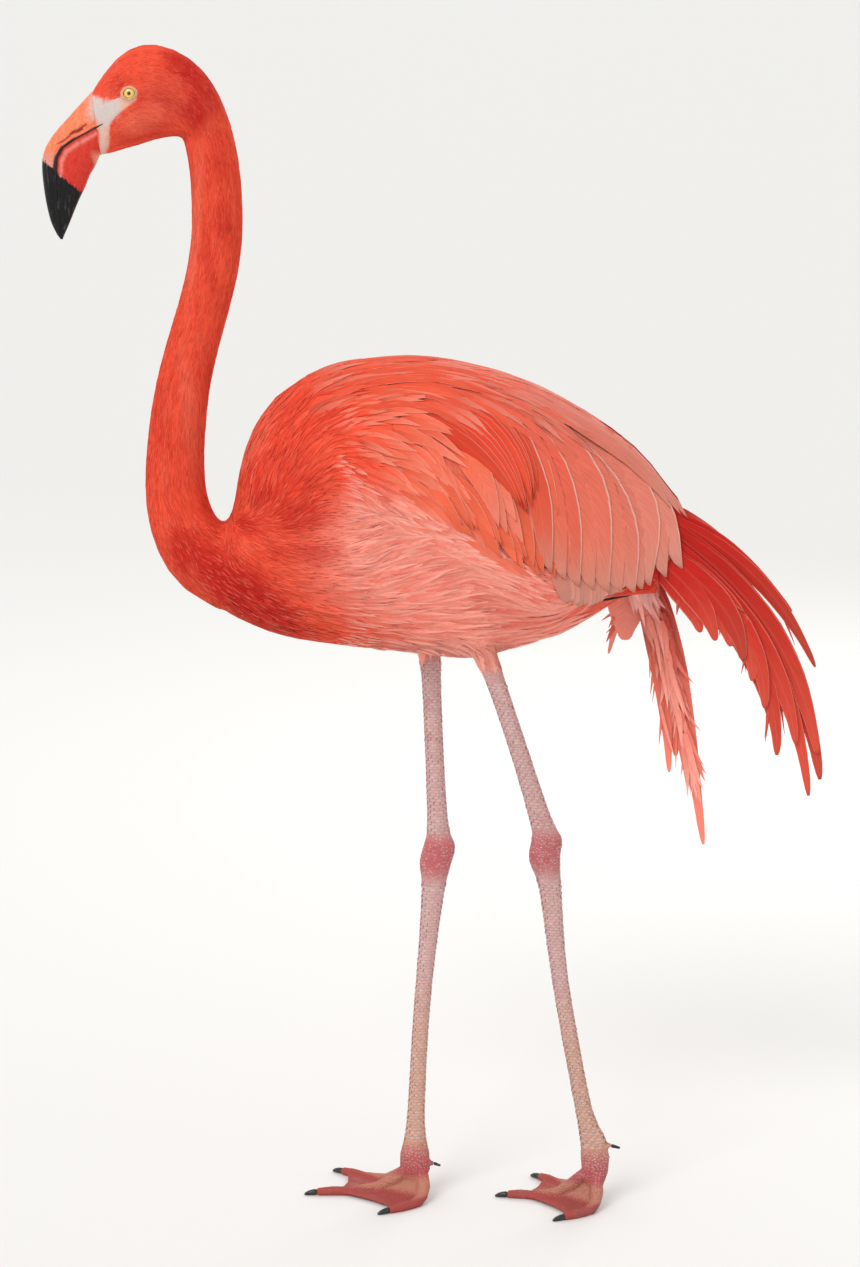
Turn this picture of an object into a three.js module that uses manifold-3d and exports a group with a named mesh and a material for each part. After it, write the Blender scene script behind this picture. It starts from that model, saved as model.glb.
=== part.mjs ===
// American flamingo, adult, standing in mid stride with its neck in an S and its wings folded.
// Life size, in millimetres: +Z is up, the bird faces -X and its left side is at -Y.
// The outlines below are side views in the bird's middle plane: x from the mid back, z from the floor.
import * as THREE from 'three';
import { mergeVertices } from 'three/addons/utils/BufferGeometryUtils.js';
import Module from 'manifold-3d';

const wasm = await Module();
wasm.setup();

// ---------------------------------------------------------------- driving dimensions

const GAP = 0.3; // space kept between pieces that touch
const LEFT = -1; // sign of y on the bird's left side
const RIGHT = 1;
const UP = new THREE.Vector3(0, 0, 1);
const BACK = new THREE.Vector3(1, 0, 0);

// Torso, breast to tail root: x, height of the back, height of the belly, half width.
const TORSO = [
  [-224, 704, 664, 22],
  [-210, 732, 641, 40],
  [-199, 764, 633, 50],
  [-183, 824, 626, 60],
  [-157, 862, 615, 69],
  [-128, 884, 609, 73],
  [-100, 891, 605, 77],
  [-68, 891, 601, 81],
  [-20, 888, 596, 84],
  [40, 877, 590, 85],
  [90, 857, 602, 77],
  [140, 828, 619, 62],
  [180, 794, 643, 47],
  [212, 761, 663, 33],
  [236, 742, 680, 22],
];

// Neck, head end to breast: place along it, x and z of its middle, half depth, half width.
const NECK = [
  [0, -223, 1128, 25.0, 20.5],
  [1, -217, 1100, 25.3, 20.5],
  [2, -214, 1064, 25.7, 20.5],
  [3, -214, 1028, 25.9, 21],
  [4, -219, 990, 26.0, 21.5],
  [5, -229, 951, 25.8, 22],
  [6, -241, 911, 26.4, 23],
  [7, -251, 870, 27.6, 24.5],
  [8, -257, 829, 29.0, 26],
  [9, -260, 789, 30.2, 28],
  [10, -258, 752, 32.4, 31],
  [11, -247, 719, 36.0, 35],
  [12, -228, 695, 40.0, 40],
  [13, -198, 682, 45.0, 45],
];
const NECK_CUTS = [0, 4.5, 8.5, 13];
const NECK_SPACING = 38; // length of one place along the neck

// Head, nape to bill: place, crown point x and z, throat point x and z, half width.
const HEAD = [
  [1, -208, 1160, -251, 1123, 22],
  [2, -224, 1186, -262, 1122, 23.5],
  [3, -249, 1206, -276, 1119, 24.3],
  [4, -279, 1214, -291, 1114, 24],
  [5, -304, 1206, -306, 1110, 21.5],
  [6, -323, 1187, -319, 1106, 18],
  [7, -336.6, 1167.6, -330, 1104.6, 15],
];

// Bill, base to tip: place, culmen point x and z, lower edge point x and z, half width.
const BILL = [
  [0, -337, 1167.2, -330.4, 1104, 14.6],
  [1, -359, 1144, -335, 1094, 14.2],
  [2, -379, 1121, -341, 1084, 14],
  [3, -388, 1100, -346, 1072, 12.8],
  [4, -387, 1070, -353, 1058, 10],
  [5, -382, 1042, -362, 1037, 6.6],
  [6, -376, 1027, -367.5, 1025, 3.4],
  [7, -371.6, 1020.4, -369.6, 1020, 1.2],
];
const MOUTH_LINE = [
  [-325, 1136], [-338, 1129], [-354, 1120.5], [-366, 1112], [-371.5, 1102],
  [-373, 1089], [-372.6, 1072], [-372, 1052], [-371, 1035], [-370.4, 1012],
];
const NOSTRIL = { x: -352, z: 1131, length: 24, height: 3.4, depth: 5, dip: 36 };

const EYE = { x: -298, z: 1166, radius: 8.2, bulge: 3.2, lid: 1.4, lidInset: 0.9 };

// Outer surface of the folded wings: x, height of the ridge, height of the widest line, half width.
const FOLDED = [
  [-140, 878, 768, 84],
  [-106, 893, 760, 92],
  [-56, 902, 750, 100],
  [-5, 903, 746, 103],
  [46, 894, 742, 103],
  [96, 879, 735, 95],
  [147, 854, 725, 80],
  [198, 820, 714, 62],
  [224, 795, 706, 53],
  [250, 762, 698, 45],
  [280, 735, 690, 40],
];
// Wing pad under the feathers: x, upper edge, lower edge in the side view.
const WING_PAD = [
  [-122, 858, 818],
  [-96, 878, 800],
  [-60, 888, 784],
  [-20, 889, 762],
  [30, 882, 738],
  [70, 870, 716],
  [100, 858, 700],
  [130, 843, 688],
  [160, 824, 680],
  [200, 792, 686],
  [228, 766, 694],
  [252, 742, 704],
];
const PAD = { sunk: 8, tertialSunk: 12, depth: 10, wingEnd: 176, tertialEnd: 244 };

// Feather tiers of a folded wing, from the shoulder back. In the side view each feather runs from its
// root through its bend to its tip. Each list gives these for the lowest, the middle and the top feather.
const WING_TIERS = [
  { count: 5, width: 27,
    root: [[-130, 824], [-118, 860], [-98, 880]],
    bend: [[-98, 822], [-70, 866], [-36, 895]],
    tip: [[-62, 800], [-12, 842], [24, 882]] },
  { count: 6, width: 30,
    root: [[-98, 812], [-70, 850], [-34, 882]],
    bend: [[-48, 806], [20, 846], [52, 884]],
    tip: [[-16, 766], [58, 790], [108, 854]] },
  { count: 6, width: 35,
    root: [[-58, 790], [-10, 840], [26, 876]],
    bend: [[4, 784], [88, 822], [122, 862]],
    tip: [[52, 727], [134, 736], [190, 807]] },
  { count: 8, width: 39,
    root: [[8, 760], [60, 816], [96, 858]],
    bend: [[72, 744], [176, 766], [184, 816]],
    tip: [[118, 686], [211, 666], [257, 734]] },
];
const FEATHER = { thick: 0.8, sunk: 11, raised: 1.6, tilt: 3, stray: 2.5 };

// Long trailing tertials: tip x and z, bend x and z, width, distance of the tip from the middle plane.
const TRAILING = [
  [370, 643, 304, 727, 13, 20],
  [394, 587, 343, 701, 20, 28],
  [401, 470, 377, 642, 26, 35],
  [389, 454, 368, 633, 20, 40],
  [355, 498, 360, 602, 21, 45],
  [328, 576, 334, 650, 20, 47],
  [312, 612, 298, 664, 24, 47],
  [277, 625, 264, 670, 20, 44],
];
// The right wing's own tertials are worn short.
const TRAILING_RIGHT = [
  [330, 672, 294, 716, 18, 22],
  [330, 642, 304, 700, 20, 32],
  [300, 646, 280, 690, 22, 39],
  [267, 639, 257, 678, 22, 42],
];
// The right wing's drooping tertials, in the same terms.
const DROOPING = [
  [288, 383, 257, 616, 20, 33],
  [269, 461, 250, 602, 22, 29],
  [258, 478, 243, 604, 24, 37],
  [251, 461, 247, 580, 16, 33],
  [203, 602, 205, 640, 36, 36],
  [186, 588, 198, 632, 9, 33],
];
const PLUME = { thick: 1.1, ribbed: 23, rib: 0.04 };
// Where the first and the last plume of a group are rooted, x and z.
const PLUME_ROOTS = {
  tertials: [[232, 750], [216, 712]],
  drooping: [[224, 680], [200, 676]],
};
const DROOPING_PAD = { from: 190, to: 226, tall: 22 };

// Black primaries, tucked inside each folded wing.
const PRIMARIES = {
  count: 3, width: 15, thick: 0.8, step: 1.4,
  root: [[132, 690], [136, 676]],
  bend: [[164, 682], [170, 668]],
  tip: [[202, 672], [212, 662]],
  block: { x: 148, length: 32, lower: 670, upper: 696, depth: 6 },
};

const TAIL = {
  count: 7, core: 30, rootTall: 20, endTall: 5, narrower: 4, root: 14, rootSpread: 6,
  length: [74, 90], width: 19, spread: 40, droop: 44, thick: 0.9, step: 0.65,
};

// Legs, belly to foot joint: place, x, y, z, half depth in front, half depth behind, half width.
// Each toe has a root, a bend and a tip on the floor.
const LEGS = {
  right: {
    side: RIGHT,
    path: [
      [0, -8, 44, 640, 26, 26, 22],
      [1, 0, 38, 583, 11.5, 11.5, 9.5],
      [2, 4, 32, 496, 9.5, 9.5, 8],
      [3, 8, 27, 408, 11, 11, 8.8],
      [4, 8, 25.5, 385, 14, 18.5, 10.6],
      [5, 6, 24.5, 365, 17, 16, 10.8],
      [6, 3, 23, 335, 11.5, 12, 8.4],
      [7, -4, 20, 262, 8.8, 9, 6.6],
      [8, -10, 17, 192, 8.2, 8.6, 6.2],
      [9, -14.6, 14, 100, 8.8, 8.8, 6.6],
      [10, -15.6, 12.5, 64, 11.8, 11.6, 8.4],
      [11, -16, 12, 36, 17.6, 17, 10.6],
      [12, -15, 12, 16, 9, 9, 8],
    ],
    toes: {
      inner: { root: [-8, 6, 26], bend: [0, -18], tip: [-43, -38] },
      middle: { root: [-26, 12, 28], bend: [-70, 18], tip: [-121, 15] },
      outer: { root: [-24, 18, 28], bend: [-58, 52], tip: [-95, 78] },
    },
    hallux: { x: 0, z: 38, length: 11, radius: 3.4 },
  },
  left: {
    side: LEFT,
    path: [
      [0, 36, -44, 652, 26, 26, 22],
      [1, 60, -38, 594, 11.5, 11, 9.5],
      [2, 88, -32, 511, 9.4, 8.8, 7.8],
      [3, 114, -27, 425, 10.8, 11.4, 8.8],
      [4, 119, -25.5, 403, 14.5, 17.6, 10.6],
      [5, 121, -24.5, 384, 18.6, 14, 10.8],
      [6, 126, -22, 352, 12.6, 10.2, 8.4],
      [7, 134, -19, 272, 9.4, 7.8, 6.4],
      [8, 145, -17, 200, 8.6, 7.8, 6],
      [9, 163, -14, 104, 8.8, 8.6, 6.6],
      [10, 173, -12.5, 68, 13.6, 14.4, 8.4],
      [11, 175, -12, 42, 15, 15, 10],
      [12, 175, -14, 20, 9, 8, 8],
    ],
    toes: {
      inner: { root: [166, -6, 34], bend: [146, 34], tip: [119, 61] },
      middle: { root: [164, -12, 34], bend: [122, 4], tip: [83, 8] },
      outer: { root: [176, -16, 32], bend: [182, -40], tip: [141, -57] },
    },
    hallux: { x: 184, z: 67, length: 17, radius: 3.8 },
  },
};
const LEG_CUTS = { thigh: [0, 1.22], shank: [1.22, 3], hock: [3, 6], tarsus: [6, 9.85] };
const TOE = { base: 6.6, tip: 4.1, knuckle: 0.7, rest: 0.86, levelFrom: 0.55 };
const CLAW = { length: 13, thick: 0.81, droop: 2.4, floor: 0.1 };
const HALLUX = { embedded: 6, droop: 4, clawFrom: 0.62 };
const WEB = { thick: 2.2, root: 0.05, alongMiddle: 0.8, alongSide: 0.95, scallop: 0.4, sag: 3 };

const COLOURS = {
  plumage: new THREE.MeshStandardMaterial({ color: 0xe8604a, roughness: 0.85, metalness: 0 }),
  coverts: new THREE.MeshStandardMaterial({ color: 0xf08a72, roughness: 0.8, metalness: 0 }),
  scarlet: new THREE.MeshStandardMaterial({ color: 0xd8402f, roughness: 0.8, metalness: 0 }),
  primaries: new THREE.MeshStandardMaterial({ color: 0x1b1b1e, roughness: 0.6, metalness: 0 }),
  legSkin: new THREE.MeshStandardMaterial({ color: 0xc98a82, roughness: 0.7, metalness: 0 }),
  footSkin: new THREE.MeshStandardMaterial({ color: 0xb8645a, roughness: 0.7, metalness: 0 }),
  billHorn: new THREE.MeshStandardMaterial({ color: 0xe8705a, roughness: 0.45, metalness: 0 }),
  claw: new THREE.MeshStandardMaterial({ color: 0x2a2a2c, roughness: 0.4, metalness: 0 }),
  eye: new THREE.MeshStandardMaterial({ color: 0xe9c14f, roughness: 0.15, metalness: 0 }),
};

// ---------------------------------------------------------------- tables, curves and small sums

const lerp = THREE.MathUtils.lerp;
const clamp = THREE.MathUtils.clamp;
const rad = THREE.MathUtils.degToRad;

// Reads a table between its rows, smoothly. The first number of each row is its key.
function between(rows) {
  const slopes = rows.map((row, i) => {
    const before = rows[Math.max(i - 1, 0)];
    const after = rows[Math.min(i + 1, rows.length - 1)];
    return row.map((_, c) => (after[c] - before[c]) / (after[0] - before[0]));
  });
  return (key) => {
    const k = clamp(key, rows[0][0], rows.at(-1)[0]);
    const i = Math.max(1, rows.findIndex((row) => row[0] >= k));
    const [a, b] = [rows[i - 1], rows[i]];
    const span = b[0] - a[0];
    const s = (k - a[0]) / span;
    const near = s * s * (3 - 2 * s);
    const leave = s * (1 - s) * (1 - s) * span;
    const arrive = s * s * (s - 1) * span;
    return a.map((_, c) => lerp(a[c], b[c], near) + leave * slopes[i - 1][c] + arrive * slopes[i][c]);
  };
}

// A seeded draw between -1 and 1, the same each time.
function seededDraw(seed) {
  let state = seed;
  return () => {
    state = (state * 1664525 + 1013904223) % 4294967296;
    return (state / 4294967296) * 2 - 1;
  };
}

function mix(a, b, share) {
  return a.map((value, i) => lerp(value, b[i], share));
}

// The point at a share of the way along a short list of points.
function spread(points, share) {
  const place = share * (points.length - 1);
  const i = Math.min(Math.floor(place), points.length - 2);
  return mix(points[i], points[i + 1], place - i);
}

function bezier(root, bend, tip, t) {
  return mix(mix(root, bend, t), mix(bend, tip, t), t);
}

const torsoAt = between(TORSO);
const neckAt = between(NECK);
const headAt = between(HEAD);
const billAt = between(BILL);
const foldedAt = between(FOLDED);
const padEdgesAt = between(WING_PAD);

// ---------------------------------------------------------------- solids

// A manifold of a closed three.js geometry, facing outwards.
function solid(geometry) {
  const bare = geometry.clone();
  bare.deleteAttribute('normal');
  bare.deleteAttribute('uv');
  const merged = mergeVertices(bare, 1e-3);
  const index = merged.index.array;
  const forward = [];
  const reversed = [];
  for (let i = 0; i < index.length; i += 3) {
    const [a, b, c] = [index[i], index[i + 1], index[i + 2]];
    if (a === b || b === c || c === a) continue;
    forward.push(a, b, c);
    reversed.push(a, c, b);
  }
  const make = (triangles) => new wasm.Manifold(new wasm.Mesh({
    numProp: 3,
    vertProperties: merged.getAttribute('position').array,
    triVerts: new Uint32Array(triangles),
  }));
  const made = make(forward);
  return made.volume() > 0 ? made : make(reversed);
}

// The largest closed surface of a solid: it drops scraps and fills sealed hollows.
function largest(body) {
  return body.decompose().reduce((a, b) => (b.volume() > a.volume() ? b : a));
}

function union(bodies) {
  return bodies.reduce((all, body) => all.add(body));
}

function node(name, body, material) {
  const made = largest(body).getMesh();
  const geometry = new THREE.BufferGeometry();
  geometry.setAttribute('position', new THREE.BufferAttribute(new Float32Array(made.vertProperties), 3));
  geometry.setIndex(new THREE.BufferAttribute(new Uint32Array(made.triVerts), 1));
  geometry.computeVertexNormals();
  const mesh = new THREE.Mesh(geometry, material);
  mesh.name = name;
  return mesh;
}

// Moves every vertex of a geometry to place(x, y, z).
function bent(geometry, place) {
  const position = geometry.getAttribute('position');
  for (let i = 0; i < position.count; i++) {
    const p = place(position.getX(i), position.getY(i), position.getZ(i));
    position.setXYZ(i, p.x, p.y, p.z);
  }
  return geometry;
}

// A round body: ring(t, across, up) places a point of its unit circle at t, from 0 to 1 along it.
function roundBody(sides, steps, ring) {
  const cylinder = new THREE.CylinderGeometry(1, 1, 1, sides, steps);
  return solid(bent(cylinder, (x, y, z) => ring(0.5 - y, x, z)));
}

// A point beside the run of at(t): aside of it, and towards the way given, square to the run.
function ringPoint(at, t, aside, towards, way) {
  const run = at(t + 0.01).sub(at(t - 0.01)).normalize();
  const beside = new THREE.Vector3().crossVectors(run, way).normalize();
  const above = new THREE.Vector3().crossVectors(beside, run);
  return at(t).addScaledVector(beside, aside).addScaledVector(above, towards);
}

// A thin plate, split alike on both faces: place(t, s, face) puts a point of it, t along, s across.
function plate(along, across, place) {
  const points = [];
  const faces = [];
  const row = across + 1;
  const id = (i, j, face) => (face * (along + 1) + i) * row + j;
  const quad = (a, b, c, d) => faces.push(a, b, c, a, c, d);
  for (const face of [0, 1]) {
    for (let i = 0; i <= along; i++) {
      for (let j = 0; j <= across; j++) points.push(...place(i / along, j / across, face).toArray());
    }
  }
  for (let i = 0; i < along; i++) {
    for (let j = 0; j < across; j++) {
      quad(id(i, j, 1), id(i + 1, j, 1), id(i + 1, j + 1, 1), id(i, j + 1, 1));
      faces.push(id(i, j, 0), id(i + 1, j + 1, 0), id(i + 1, j, 0));
      faces.push(id(i, j, 0), id(i, j + 1, 0), id(i + 1, j + 1, 0));
    }
    quad(id(i, 0, 0), id(i + 1, 0, 0), id(i + 1, 0, 1), id(i, 0, 1));
    quad(id(i, across, 1), id(i + 1, across, 1), id(i + 1, across, 0), id(i, across, 0));
  }
  for (let j = 0; j < across; j++) {
    quad(id(0, j, 1), id(0, j + 1, 1), id(0, j + 1, 0), id(0, j, 0));
    quad(id(along, j, 0), id(along, j + 1, 0), id(along, j + 1, 1), id(along, j, 1));
  }
  const geometry = new THREE.BufferGeometry();
  geometry.setAttribute('position', new THREE.Float32BufferAttribute(points, 3));
  geometry.setIndex(faces);
  return solid(geometry);
}

// ---------------------------------------------------------------- torso, neck and head

function torso(grown = 0) {
  const [first, last] = [TORSO[0][0], TORSO.at(-1)[0]];
  return roundBody(24, 18, (t, across, up) => {
    const eased = 0.6 * t + 0.2 * (1 - Math.cos(Math.PI * t));
    const x = lerp(first, last, eased);
    const [, top, bottom, half] = torsoAt(x);
    const tall = (top - bottom) / 2;
    return new THREE.Vector3(
      x + grown * (2 * t - 1), across * (half + grown), (top + bottom) / 2 + up * (tall + grown));
  });
}

// A ring of the neck, with its own depth direction square to the neck's run.
function neckPoint(place, across, up) {
  const [, x, z, depth, half] = neckAt(place);
  const [, aheadX, aheadZ] = neckAt(place + 0.05);
  const [, behindX, behindZ] = neckAt(place - 0.05);
  const run = new THREE.Vector2(aheadX - behindX, aheadZ - behindZ).normalize();
  return new THREE.Vector3(x - run.y * up * depth, across * half, z + run.x * up * depth);
}

function neck(from, to) {
  const inset = (0.6 * GAP) / NECK_SPACING;
  const steps = Math.round((to - from) * 2);
  return roundBody(16, steps, (t, across, up) => neckPoint(lerp(from + inset, to - inset, t), across, up));
}

// A ring between a crown point and a throat point. The first ring of the head lies on the neck's.
function headPoint(place, across, up) {
  if (place < 1) {
    const start = neckPoint(0, across, up);
    const next = headPoint(1, across, up);
    return start.add(new THREE.Vector3(0, 0, 2 * GAP)).lerp(next, place);
  }
  return pairPoint(headAt(place), across, up);
}

function pairPoint([, topX, topZ, lowX, lowZ, half], across, up) {
  const share = (1 + up) / 2;
  return new THREE.Vector3(lerp(lowX, topX, share), across * half, lerp(lowZ, topZ, share));
}

// A thin sheet along the mouth line, which parts the upper from the lower bill.
function mouthSheet(thick, end) {
  const line = new THREE.SplineCurve(MOUTH_LINE.map(([x, z]) => new THREE.Vector2(x, z)));
  const middle = line.getPoints(22).filter((p) => p.x <= end);
  const offset = (p, i, by) => {
    const run = line.getTangent(i / (middle.length - 1));
    return new THREE.Vector2(p.x - run.y * by, p.y + run.x * by);
  };
  const outer = middle.map((p, i) => offset(p, i, thick / 2));
  const inner = middle.map((p, i) => offset(p, i, -thick / 2)).reverse();
  const width = 60;
  const sheet = new THREE.ExtrudeGeometry(new THREE.Shape([...outer, ...inner]), {
    depth: width,
    bevelEnabled: false,
  });
  return solid(bent(sheet, (x, y, z) => new THREE.Vector3(x, z - width / 2, y)));
}

function headSurfaceY(x, z) {
  let found = 0;
  for (let place = 4; place <= 7; place += 0.05) {
    const [, topX, topZ, lowX, lowZ, half] = headAt(place);
    const share = clamp((z - lowZ) / (topZ - lowZ), 0, 1);
    if (lerp(lowX, topX, share) < x) break;
    found = half * Math.sqrt(1 - (2 * share - 1) ** 2);
  }
  return found;
}

const eyeDepth = headSurfaceY(EYE.x, EYE.z) + EYE.bulge - EYE.radius;

function eyeball(side, grown = 0) {
  const ball = new THREE.SphereGeometry(EYE.radius + grown, 12, 8);
  return solid(ball.translate(EYE.x, side * eyeDepth, EYE.z));
}

function lids(side) {
  const ring = new THREE.TorusGeometry(EYE.radius - EYE.lidInset, EYE.lid, 6, 14);
  ring.rotateX(Math.PI / 2);
  ring.scale(1.08, 1, 0.95);
  return solid(ring.translate(EYE.x, side * (headSurfaceY(EYE.x, EYE.z) + 0.2), EYE.z));
}

function head() {
  const skull = roundBody(18, 13, (t, across, up) => headPoint(7 * t, across, up));
  const withLids = union([skull, lids(LEFT), lids(RIGHT)]);
  const sockets = union([eyeball(LEFT, GAP), eyeball(RIGHT, GAP)]);
  return withLids.subtract(sockets).subtract(mouthSheet(0.8, Infinity));
}

function nostril(side) {
  const slot = new THREE.SphereGeometry(1, 10, 6);
  slot.scale(NOSTRIL.length / 2, NOSTRIL.depth / 2, NOSTRIL.height / 2);
  slot.rotateY(-rad(NOSTRIL.dip));
  const [, , , , , half] = billAt(1);
  return solid(slot.translate(NOSTRIL.x, side * (half - 1), NOSTRIL.z));
}

function billHalves() {
  const whole = roundBody(16, 14, (t, across, up) => pairPoint(billAt(7 * t), across, up));
  const parted = whole.subtract(mouthSheet(0.5, Infinity)).subtract(union([nostril(LEFT), nostril(RIGHT)]));
  const [first, second] = parted.decompose().sort((a, b) => b.volume() - a.volume());
  const firstIsUpper = first.boundingBox().max[2] > second.boundingBox().max[2];
  return firstIsUpper ? { upper: first, lower: second } : { upper: second, lower: first };
}

// ---------------------------------------------------------------- folded wings

// A point of the folded wing seen from the side at x, z. It rounds over the back and hangs straight below
// the widest line. Lift is measured out from the wing's outer surface.
function foldedPoint(x, z, lift, side) {
  const [, ridge, widest, half] = foldedAt(x);
  const rise = clamp((z - widest) / (ridge + lift - widest), -1, 0.996);
  const across = rise > 0 ? Math.sqrt(1 - rise * rise) : 1 - 0.12 * rise * rise;
  return new THREE.Vector3(x, side * (half + lift) * across, z);
}

function pad(from, to, steps, sunk, side) {
  const box = new THREE.BoxGeometry(1, 1, 1, steps, 4, 1);
  return solid(bent(box, (along, up, out) => {
    const x = lerp(from, to, along + 0.5);
    const [, upper, lower] = padEdgesAt(x);
    const z = lerp(lower, upper, up + 0.5);
    return foldedPoint(x, z, out > 0 ? -sunk : -sunk - PAD.depth, side);
  }));
}

// Width of a feather at t, as a share of its full width: narrow at the root, round at the tip.
function bladeShare(t) {
  const base = 0.45 + 0.55 * Math.min(1, t / 0.4);
  const tip = Math.max(0, (t - 0.66) / 0.34);
  return base * Math.sqrt(1 - 0.94 * tip * tip);
}

// Stations lie closer towards a feather's tip.
function towardsTip(t) {
  return 1 - (1 - t) ** 1.6;
}

// A wing feather lies on the folded wing. Its rear edge is raised, over the feather behind it.
function wingFeather(root, bend, tip, width, side) {
  return plate(4, 2, (along, s, face) => {
    const t = towardsTip(along);
    const [x, z] = bezier(root, bend, tip, t);
    const [aheadX, aheadZ] = bezier(root, bend, tip, t + 0.02);
    const run = new THREE.Vector2(aheadX - x, aheadZ - z).normalize();
    const off = (s - 0.5) * width * bladeShare(t);
    const lift = lerp(-FEATHER.sunk, FEATHER.raised, t) + (s - 0.5) * FEATHER.tilt;
    return foldedPoint(x - run.y * off, z + run.x * off, lift - face * FEATHER.thick, side);
  });
}

function tierFeathers(tier, side, draw) {
  return Array.from({ length: tier.count }, (_, i) => {
    const share = i / (tier.count - 1);
    const [root, bend, tip] = [tier.root, tier.bend, tier.tip].map((points) => spread(points, share));
    const strayed = tip.map((value) => value + FEATHER.stray * draw());
    return wingFeather(root, bend, strayed, tier.width, side);
  });
}

function wing(side, clear) {
  const draw = seededDraw(7);
  const feathers = WING_TIERS.flatMap((tier) => tierFeathers(tier, side, draw));
  return union([pad(WING_PAD[0][0], PAD.wingEnd, 8, PAD.sunk, side), ...feathers]).subtract(clear);
}

// A long plume in space, hanging from its root through its bend to its tip, its faces turned outwards.
function plume(root, bend, tip, width) {
  const outward = new THREE.Vector3(0, Math.sign(root[1]), 0);
  const at = (t) => new THREE.Vector3(...bezier(root, bend, tip, t));
  return plate(5, width > PLUME.ribbed ? 2 : 1, (along, s, face) => {
    const t = towardsTip(along);
    const blade = (0.3 + 0.7 * Math.sin(Math.PI * 0.8 * t)) * Math.sqrt(1 - 0.97 * t ** 7);
    const rib = s === 0.5 ? PLUME.rib * width : 0;
    const out = (face - 0.5) * PLUME.thick * (1 - 0.4 * t) + rib;
    return ringPoint(at, t, (s - 0.5) * width * blade, out, outward);
  });
}

function plumes(rows, side, [firstRoot, lastRoot]) {
  return rows.map(([tipX, tipZ, bendX, bendZ, width, tipOut], i) => {
    const [x, z] = mix(firstRoot, lastRoot, i / (rows.length - 1));
    const depth = Math.abs(foldedPoint(x, z, -PAD.tertialSunk - PAD.depth / 2, side).y);
    const bendOut = (depth + tipOut) / 2;
    return plume([x, side * depth, z], [bendX, side * bendOut, bendZ], [tipX, side * tipOut, tipZ], width);
  });
}

function tertials(side) {
  const rows = side === LEFT ? TRAILING : TRAILING_RIGHT;
  const base = pad(PAD.wingEnd + GAP, PAD.tertialEnd, 3, PAD.tertialSunk, side);
  return union([base, ...plumes(rows, side, PLUME_ROOTS.tertials)]);
}

function drooping(side) {
  const box = new THREE.BoxGeometry(1, 1, 1, 3, 2, 1);
  const base = solid(bent(box, (along, up, out) => {
    const x = lerp(DROOPING_PAD.from, DROOPING_PAD.to, along + 0.5);
    const z = padEdgesAt(x)[2] - 2 * GAP - DROOPING_PAD.tall * (0.5 - up);
    return foldedPoint(x, z, -PAD.tertialSunk - (out > 0 ? 0 : PAD.depth), side);
  }));
  return union([base, ...plumes(DROOPING, side, PLUME_ROOTS.drooping)]);
}

function primaries(side, clear) {
  const { count, root, bend, tip, width, thick, step, block } = PRIMARIES;
  const outer = -PAD.tertialSunk - PAD.depth - 2 * GAP;
  const box = new THREE.BoxGeometry(1, 1, 1, 2, 2, 1);
  const base = solid(bent(box, (along, up, out) => {
    const z = lerp(block.lower, block.upper, up + 0.5);
    return foldedPoint(block.x + block.length * along, z, outer - (out > 0 ? 0 : block.depth), side);
  }));
  const vanes = Array.from({ length: count }, (_, i) => {
    const share = i / (count - 1);
    const [from, through, to] = [root, bend, tip].map((ends) => mix(ends[0], ends[1], share));
    return plate(4, 1, (t, s, face) => {
      const [x, z] = bezier(from, through, to, t);
      const lift = outer - 1 - i * step - face * thick;
      return foldedPoint(x, z + (s - 0.5) * width * bladeShare(t), lift, side);
    });
  });
  return union([base, ...vanes]).subtract(clear);
}

// ---------------------------------------------------------------- tail

// Tail feathers fan out from a short core, the middle one on top.
function tail() {
  const [start, top, bottom, half] = TORSO.at(-1);
  const middle = (top + bottom) / 2;
  const core = roundBody(12, 3, (t, across, up) => new THREE.Vector3(
    start + GAP + t * TAIL.core,
    across * (half - TAIL.narrower) * (1 - 0.35 * t),
    middle - 8 * t + up * lerp(TAIL.rootTall, TAIL.endTall, t)));
  const vanes = Array.from({ length: TAIL.count }, (_, i) => {
    const share = (2 * i) / (TAIL.count - 1) - 1;
    const length = lerp(TAIL.length[1], TAIL.length[0], Math.abs(share));
    const rank = Math.abs(i - (TAIL.count - 1) / 2) * 2 - (share > 0 ? 1 : 0);
    return plate(4, 1, (t, s, face) => new THREE.Vector3(
      start + lerp(TAIL.root, length, t),
      share * lerp(TAIL.rootSpread, TAIL.spread / 2, t) + (s - 0.5) * TAIL.width * bladeShare(t),
      middle - 1 - rank * TAIL.step - TAIL.droop * t ** 1.4 - face * TAIL.thick));
  });
  return union([core, ...vanes]);
}

// ---------------------------------------------------------------- legs and feet

function legLength(leg, from, to, sides, steps) {
  const legAt = between(leg.path);
  const inset = GAP / 60;
  const at = (place) => new THREE.Vector3(...legAt(place).slice(1, 4));
  return roundBody(sides, steps, (t, across, up) => {
    const place = lerp(from + inset, to - inset, t);
    const [, , , , front, behind, half] = legAt(place);
    return ringPoint(at, place, across * half, up * (up > 0 ? behind : front), BACK);
  });
}

// The run of a toe from the foot joint to its claw: its middle and its radius at t.
function toeAt({ root, bend, tip }, t) {
  const [x, y] = bezier(root.slice(0, 2), bend, tip, t);
  const knuckles = TOE.knuckle * Math.sin(3 * Math.PI * t) ** 2;
  const radius = lerp(TOE.base, TOE.tip, THREE.MathUtils.smoothstep(t, 0, 1)) + knuckles;
  const fall = Math.max(0, 1 - t / TOE.levelFrom) ** 2;
  return { middle: new THREE.Vector3(x, y, lerp(radius * TOE.rest, root[2], fall)), radius };
}

function toe(spec) {
  return roundBody(8, 6, (t, across, up) => {
    const { radius } = toeAt(spec, t);
    return ringPoint((s) => toeAt(spec, clamp(s, 0, 1)).middle, t, across * radius, up * radius, UP);
  });
}

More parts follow.
